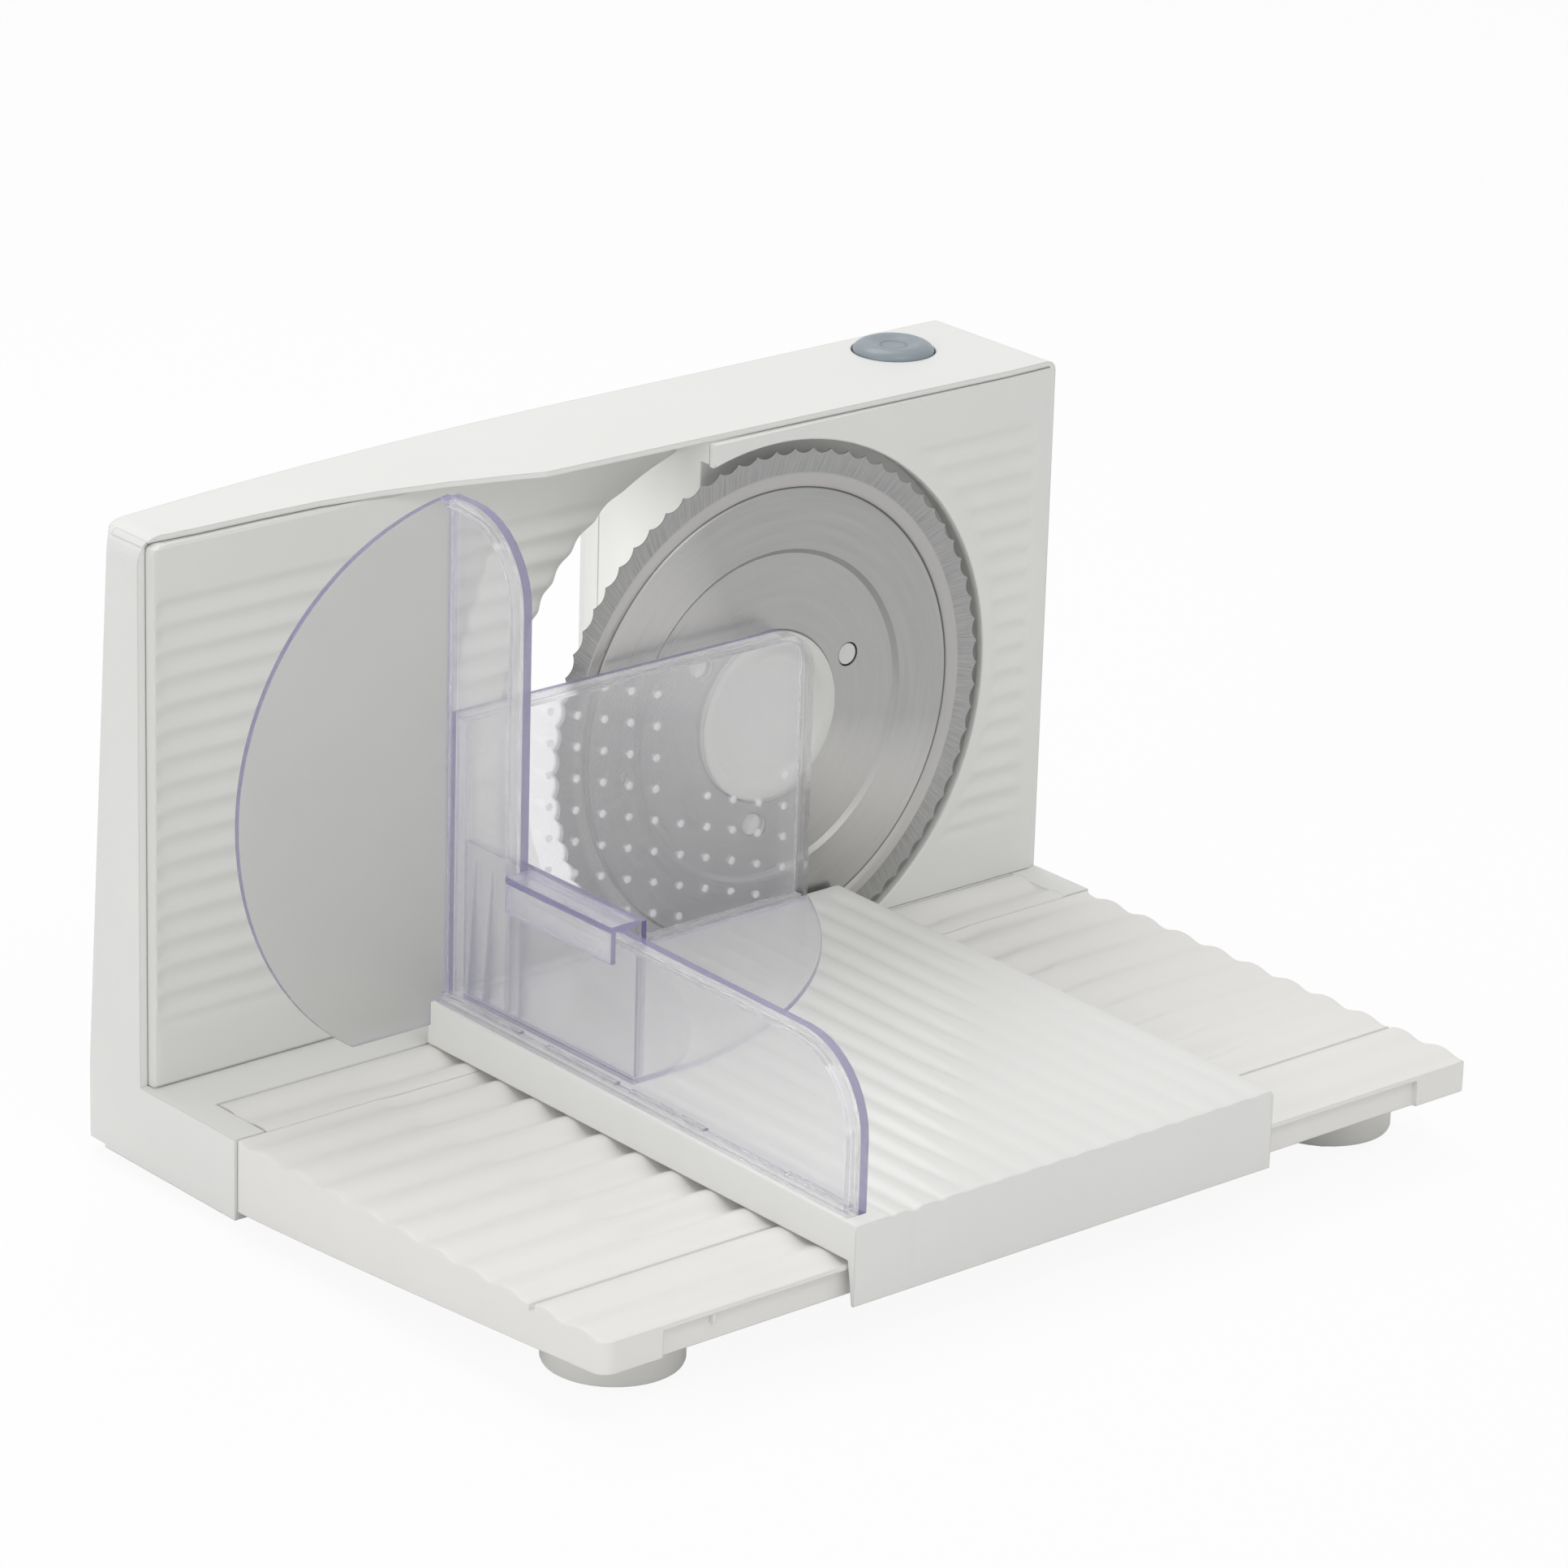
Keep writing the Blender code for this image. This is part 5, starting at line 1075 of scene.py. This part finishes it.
def make_shield(bm):
    """The hand shield is part of a disc that droops a little below its middle, cut off flat at its
    foot and along the panel."""
    edge = PANEL_FACE + 0.0004
    across = edge - SHIELD_X
    start = atan2(sqrt(SHIELD_RADIUS**2 - across**2), across)
    down = (SHIELD_Z - SHIELD_FOOT) / (SHIELD_RADIUS * SHIELD_DROOP)
    end = pi + atan2(down, sqrt(1 - down**2))
    outline = []
    for t in spread(start, end, 72):
        rise = SHIELD_RADIUS * sin(t) * (1.0 if t < pi else SHIELD_DROOP)
        outline.append((SHIELD_X + SHIELD_RADIUS * cos(t), min(SHIELD_Z + rise, guard_high.z)))
    beside, foot = carriage_low.x - 0.0004, guard_foot(GUARD_BACK_Y)
    outline += [(beside, SHIELD_FOOT), (beside, foot), (edge, foot)]
    rings = [[(x, y, z) for x, z in outline] for y in (GUARD_BACK_Y, GUARD_BACK_Y + SHIELD_SHEET)]
    loft(bm, rings, sides=(EDGE,), caps=FACE)


clear_piece("hand_shield", make_shield, "table", rounding=0.0003, finish=[clear_shield, clear_edge])


# The food holder is a clear violet pusher: a spiked plate at the blade, a side wall that hooks
# over the guard, and a floor whose free edge is a wide arc.
holder_low, holder_high = solid_box("food_holder")
HOLDER_BACK = -0.0029
HOLDER_FACE = -0.0049
HOLDER_RIM_FRONT = -0.0098
HOLDER_LEFT = -0.1232
HOLDER_RIGHT = holder_high.x - 0.0028
HOLDER_FRONT = -0.0905
HOLDER_TOP = holder_high.z - 0.0015
HOLDER_FLOOR = holder_low.z
HOLDER_SHEET = 0.0020


def make_spiked_plate(bm):
    corners = [
        (HOLDER_LEFT, HOLDER_FLOOR, 0.0),
        (HOLDER_RIGHT, HOLDER_FLOOR, 0.0),
        (HOLDER_RIGHT, HOLDER_TOP, 0.0125),
        (HOLDER_LEFT, HOLDER_TOP, 0.0),
    ]
    depths = (HOLDER_RIM_FRONT, HOLDER_FACE, HOLDER_BACK)
    rimmed_sheet(bm, corners, lambda a, b, d: (a, d, b), *depths, HOLDER_SHEET)


clear_piece("spiked_plate", make_spiked_plate, "pusher", ["food_holder"], rounding=0.00035)

SPIKE_ACROSS = 0.01025
SPIKE_UP = 0.0101
SPIKE_STAGGER = 0.00335
SPIKE_LEFT = -0.1088
SPIKE_TOP = 0.0249
BARE_LEFT = -0.040
BARE_FOOT = -0.017


def make_spikes(bm):
    """Blunt cones in columns, each set a third of a pitch lower, none in the upper right."""
    root = HOLDER_BACK + 0.0001
    cone = [(0.0, -0.0012), (0.0004, -0.0013), (0.0010, -0.0022), (0.0013, root), (0.0, root)]
    for column in range(12):
        x = SPIKE_LEFT + column * SPIKE_ACROSS
        top = SPIKE_TOP - SPIKE_STAGGER * ((column - 1) % 3)
        for row in range(9):
            z = top - SPIKE_UP * row
            if z < HOLDER_FLOOR + 0.003 or (x > BARE_LEFT and z > BARE_FOOT):
                continue
            lathe(bm, cone, 12, (x, 0.0, z))


clear_piece("holder_spikes", make_spikes, "pusher", finish=clear_spike, smooth=0.9)

HOOK_BACK = -0.0398
HOOK_FRONT = -0.0892
HOOK_LEFT = -0.1333
HOOK_TOP = -0.0089
HOOK_FOOT = -0.0206
RIB_DEPTH = 0.0016


def make_holder_side(bm):
    """The wall beside the guard's panel, the hook over it and the hook's flap outside, which is
    thicker in its middle."""
    low = HOLDER_FLOOR + HOLDER_SHEET + 0.0001
    under = HOOK_TOP - HOLDER_SHEET
    ends = [(y, low, HOOK_TOP) for y in (HOLDER_RIM_FRONT - 0.0001, HOLDER_FRONT)]
    beam(bm, (HOLDER_LEFT, HOLDER_LEFT + HOLDER_SHEET), *ends, sides=(EDGE, RIM), caps=DEEP)
    ends = [(y, under, HOOK_TOP) for y in (HOOK_BACK, HOOK_FRONT)]
    beam(bm, (HOOK_LEFT, HOLDER_LEFT - 0.0001), *ends, sides=(FACE, EDGE))
    ends = [(y, HOOK_FOOT, under - 0.0001) for y in (HOOK_BACK, HOOK_FRONT)]
    beam(bm, (HOOK_LEFT, HOOK_LEFT + 0.0019), *ends)
    ends = [(y, HOOK_FOOT + 0.002, under - 0.0001) for y in (HOOK_BACK - 0.002, HOOK_FRONT + 0.002)]
    beam(bm, (HOOK_LEFT + 0.0020, HOOK_LEFT + 0.0026), *ends)


clear_piece("holder_side", make_holder_side, "pusher", rounding=0.0004)


def make_holder_ribs(bm):
    """Two tapered ribs and two straight ones stiffen the side wall near the blade."""
    root = HOLDER_LEFT + HOLDER_SHEET + 0.0001
    foot = HOLDER_FLOOR + HOLDER_SHEET + 0.0002
    for low_y, high_y, high in ((-0.0125, -0.0145, -0.014), (-0.0200, -0.0224, -0.015)):
        rings = []
        for y, z, half, depth in ((low_y, foot, 0.0018, 0.0022), (high_y, high, 0.0002, 0.0002)):
            rings.append([(root, y + half, z), (root + depth, y, z), (root, y - half, z)])
        loft(bm, rings, sides=(DEEP, RIM, RIM), caps=EDGE)
    for y, width in ((-0.0287, 0.0018), (-0.0351, 0.0010)):
        corners = ((0.0, 0.0), (RIB_DEPTH, 0.0), (RIB_DEPTH, width), (0.0, width))
        rings = [[(root + a, y - b, z) for a, b in corners] for z in (foot, HOOK_TOP - 0.002)]
        loft(bm, rings, sides=(DEEP, RIM), caps=EDGE)


clear_piece("holder_ribs", make_holder_ribs, "pusher")

FLOOR_ARC = 0.149
FLOOR_ARC_X = -0.1242
FLOOR_ARC_Y = 0.0564


def make_holder_floor(bm):
    """A flat floor in front of the spiked plate, whose free edge is a wide arc."""
    back = HOLDER_RIM_FRONT - 0.0001
    outline = [(HOLDER_LEFT, back), (HOLDER_LEFT, HOLDER_FRONT)]
    first = -pi / 2 + 0.04
    last = -atan2(FLOOR_ARC_Y - back, sqrt(FLOOR_ARC**2 - (FLOOR_ARC_Y - back) ** 2))
    for t in spread(first, last, 40):
        x = FLOOR_ARC_X + FLOOR_ARC * cos(t)
        y = FLOOR_ARC_Y + FLOOR_ARC * sin(t)
        outline.append((min(x, holder_high.x), max(y, HOLDER_FRONT)))
    rings = [[(x, y, z) for x, y in outline] for z in (HOLDER_FLOOR, HOLDER_FLOOR + HOLDER_SHEET)]
    loft(bm, rings, sides=[DEEP] + [EDGE] * (len(outline) - 1), caps=FACE)


clear_piece("holder_floor", make_holder_floor, "pusher", rounding=0.0003)


# The casing's mouth has a flange all round, just inside its walls, that the back cover is screwed
# to. It closes the strip under the top, above the cover.
cover_low, cover_high = solid_box("back_cover")
CASING_WALL = 0.0025
TOP_LIP = 0.0018
FLANGE = 0.003


def make_casing_flange(bm):
    gap = 0.0001
    left, right = cover_low.x + CASING_WALL + gap, cover_high.x - CASING_WALL - gap
    low, top = cover_low.z + CASING_WALL, solid_box("housing")[1].z - TOP_LIP - gap
    front, back = cover_low.y - 0.0026, cover_low.y - 0.0004

    def ring(x0, x1, z0, z1, radius):
        return round_path([(x0, z0, radius), (x1, z0, radius), (x1, z1, radius), (x0, z1, radius)])

    outer = ring(left, right, low, top, 0.001)
    inner = ring(left + FLANGE, right - FLANGE, low + FLANGE, cover_high.z - FLANGE, 0.006)
    sections = []
    for (a, b), (c, d) in zip(outer, inner):
        sections.append([(a, front, b), (c, front, d), (c, back, d), (a, back, b)])
    loft(bm, sections + sections[:1], sides=(0,), caps=None)


make_piece("casing_flange", make_casing_flange, housing_white, "base", ())


# Behind the left column sits the thickness knob on its threaded spindle, with two guide rods for
# the stop plate. Steel pins carry the platform.
dress(moulded_white("knob_white", (0.78, 0.78, 0.76), edge=0.0008), "thickness_knob")
dull_steel = Finish("dull_steel", Base_Color=(0.50, 0.50, 0.50), Metallic=1.0)
steel_wear = dull_steel.noise(dull_steel.place(), 300.0, 3.0)
dull_steel.wear(Roughness=dull_steel.stretch(steel_wear, 0.3, 0.7, 0.3, 0.45))
dress(dull_steel, "thickness_spindle", "lower_guide_rod", "upper_guide_rod", "blade_axle")
dress(dull_steel, "left_hinge_pin", "right_hinge_pin", "motor_worm_shaft", "motor_can", "button_spring")


# The drive: a worm on the motor's shaft turns a nylon wheel, whose hub runs on a fixed axle in
# bronze bushes. A black bracket and cradle hold them behind the housing's front wall.
nylon = clouded("natural_nylon", 60.0, (0.70, 0.67, 0.58), (0.78, 0.76, 0.68))
nylon.wear(Roughness=0.5)
dress(nylon, "blade_hub", "worm_wheel")
bronze = clouded("sintered_bronze", 400.0, (0.50, 0.34, 0.16), (0.62, 0.44, 0.22))
bronze.wear(Metallic=1.0, Roughness=0.4)
dress(bronze, "front_bush", "rear_bush")
black = clouded("black_plastic", 900.0, (0.025, 0.025, 0.027), (0.045, 0.045, 0.047), 0.00003)
black.wear(Roughness=0.5, Specular_IOR_Level=0.4)
dress(black, "axle_bracket", "motor_cradle", "motor_end_cap", "inlet_gland")
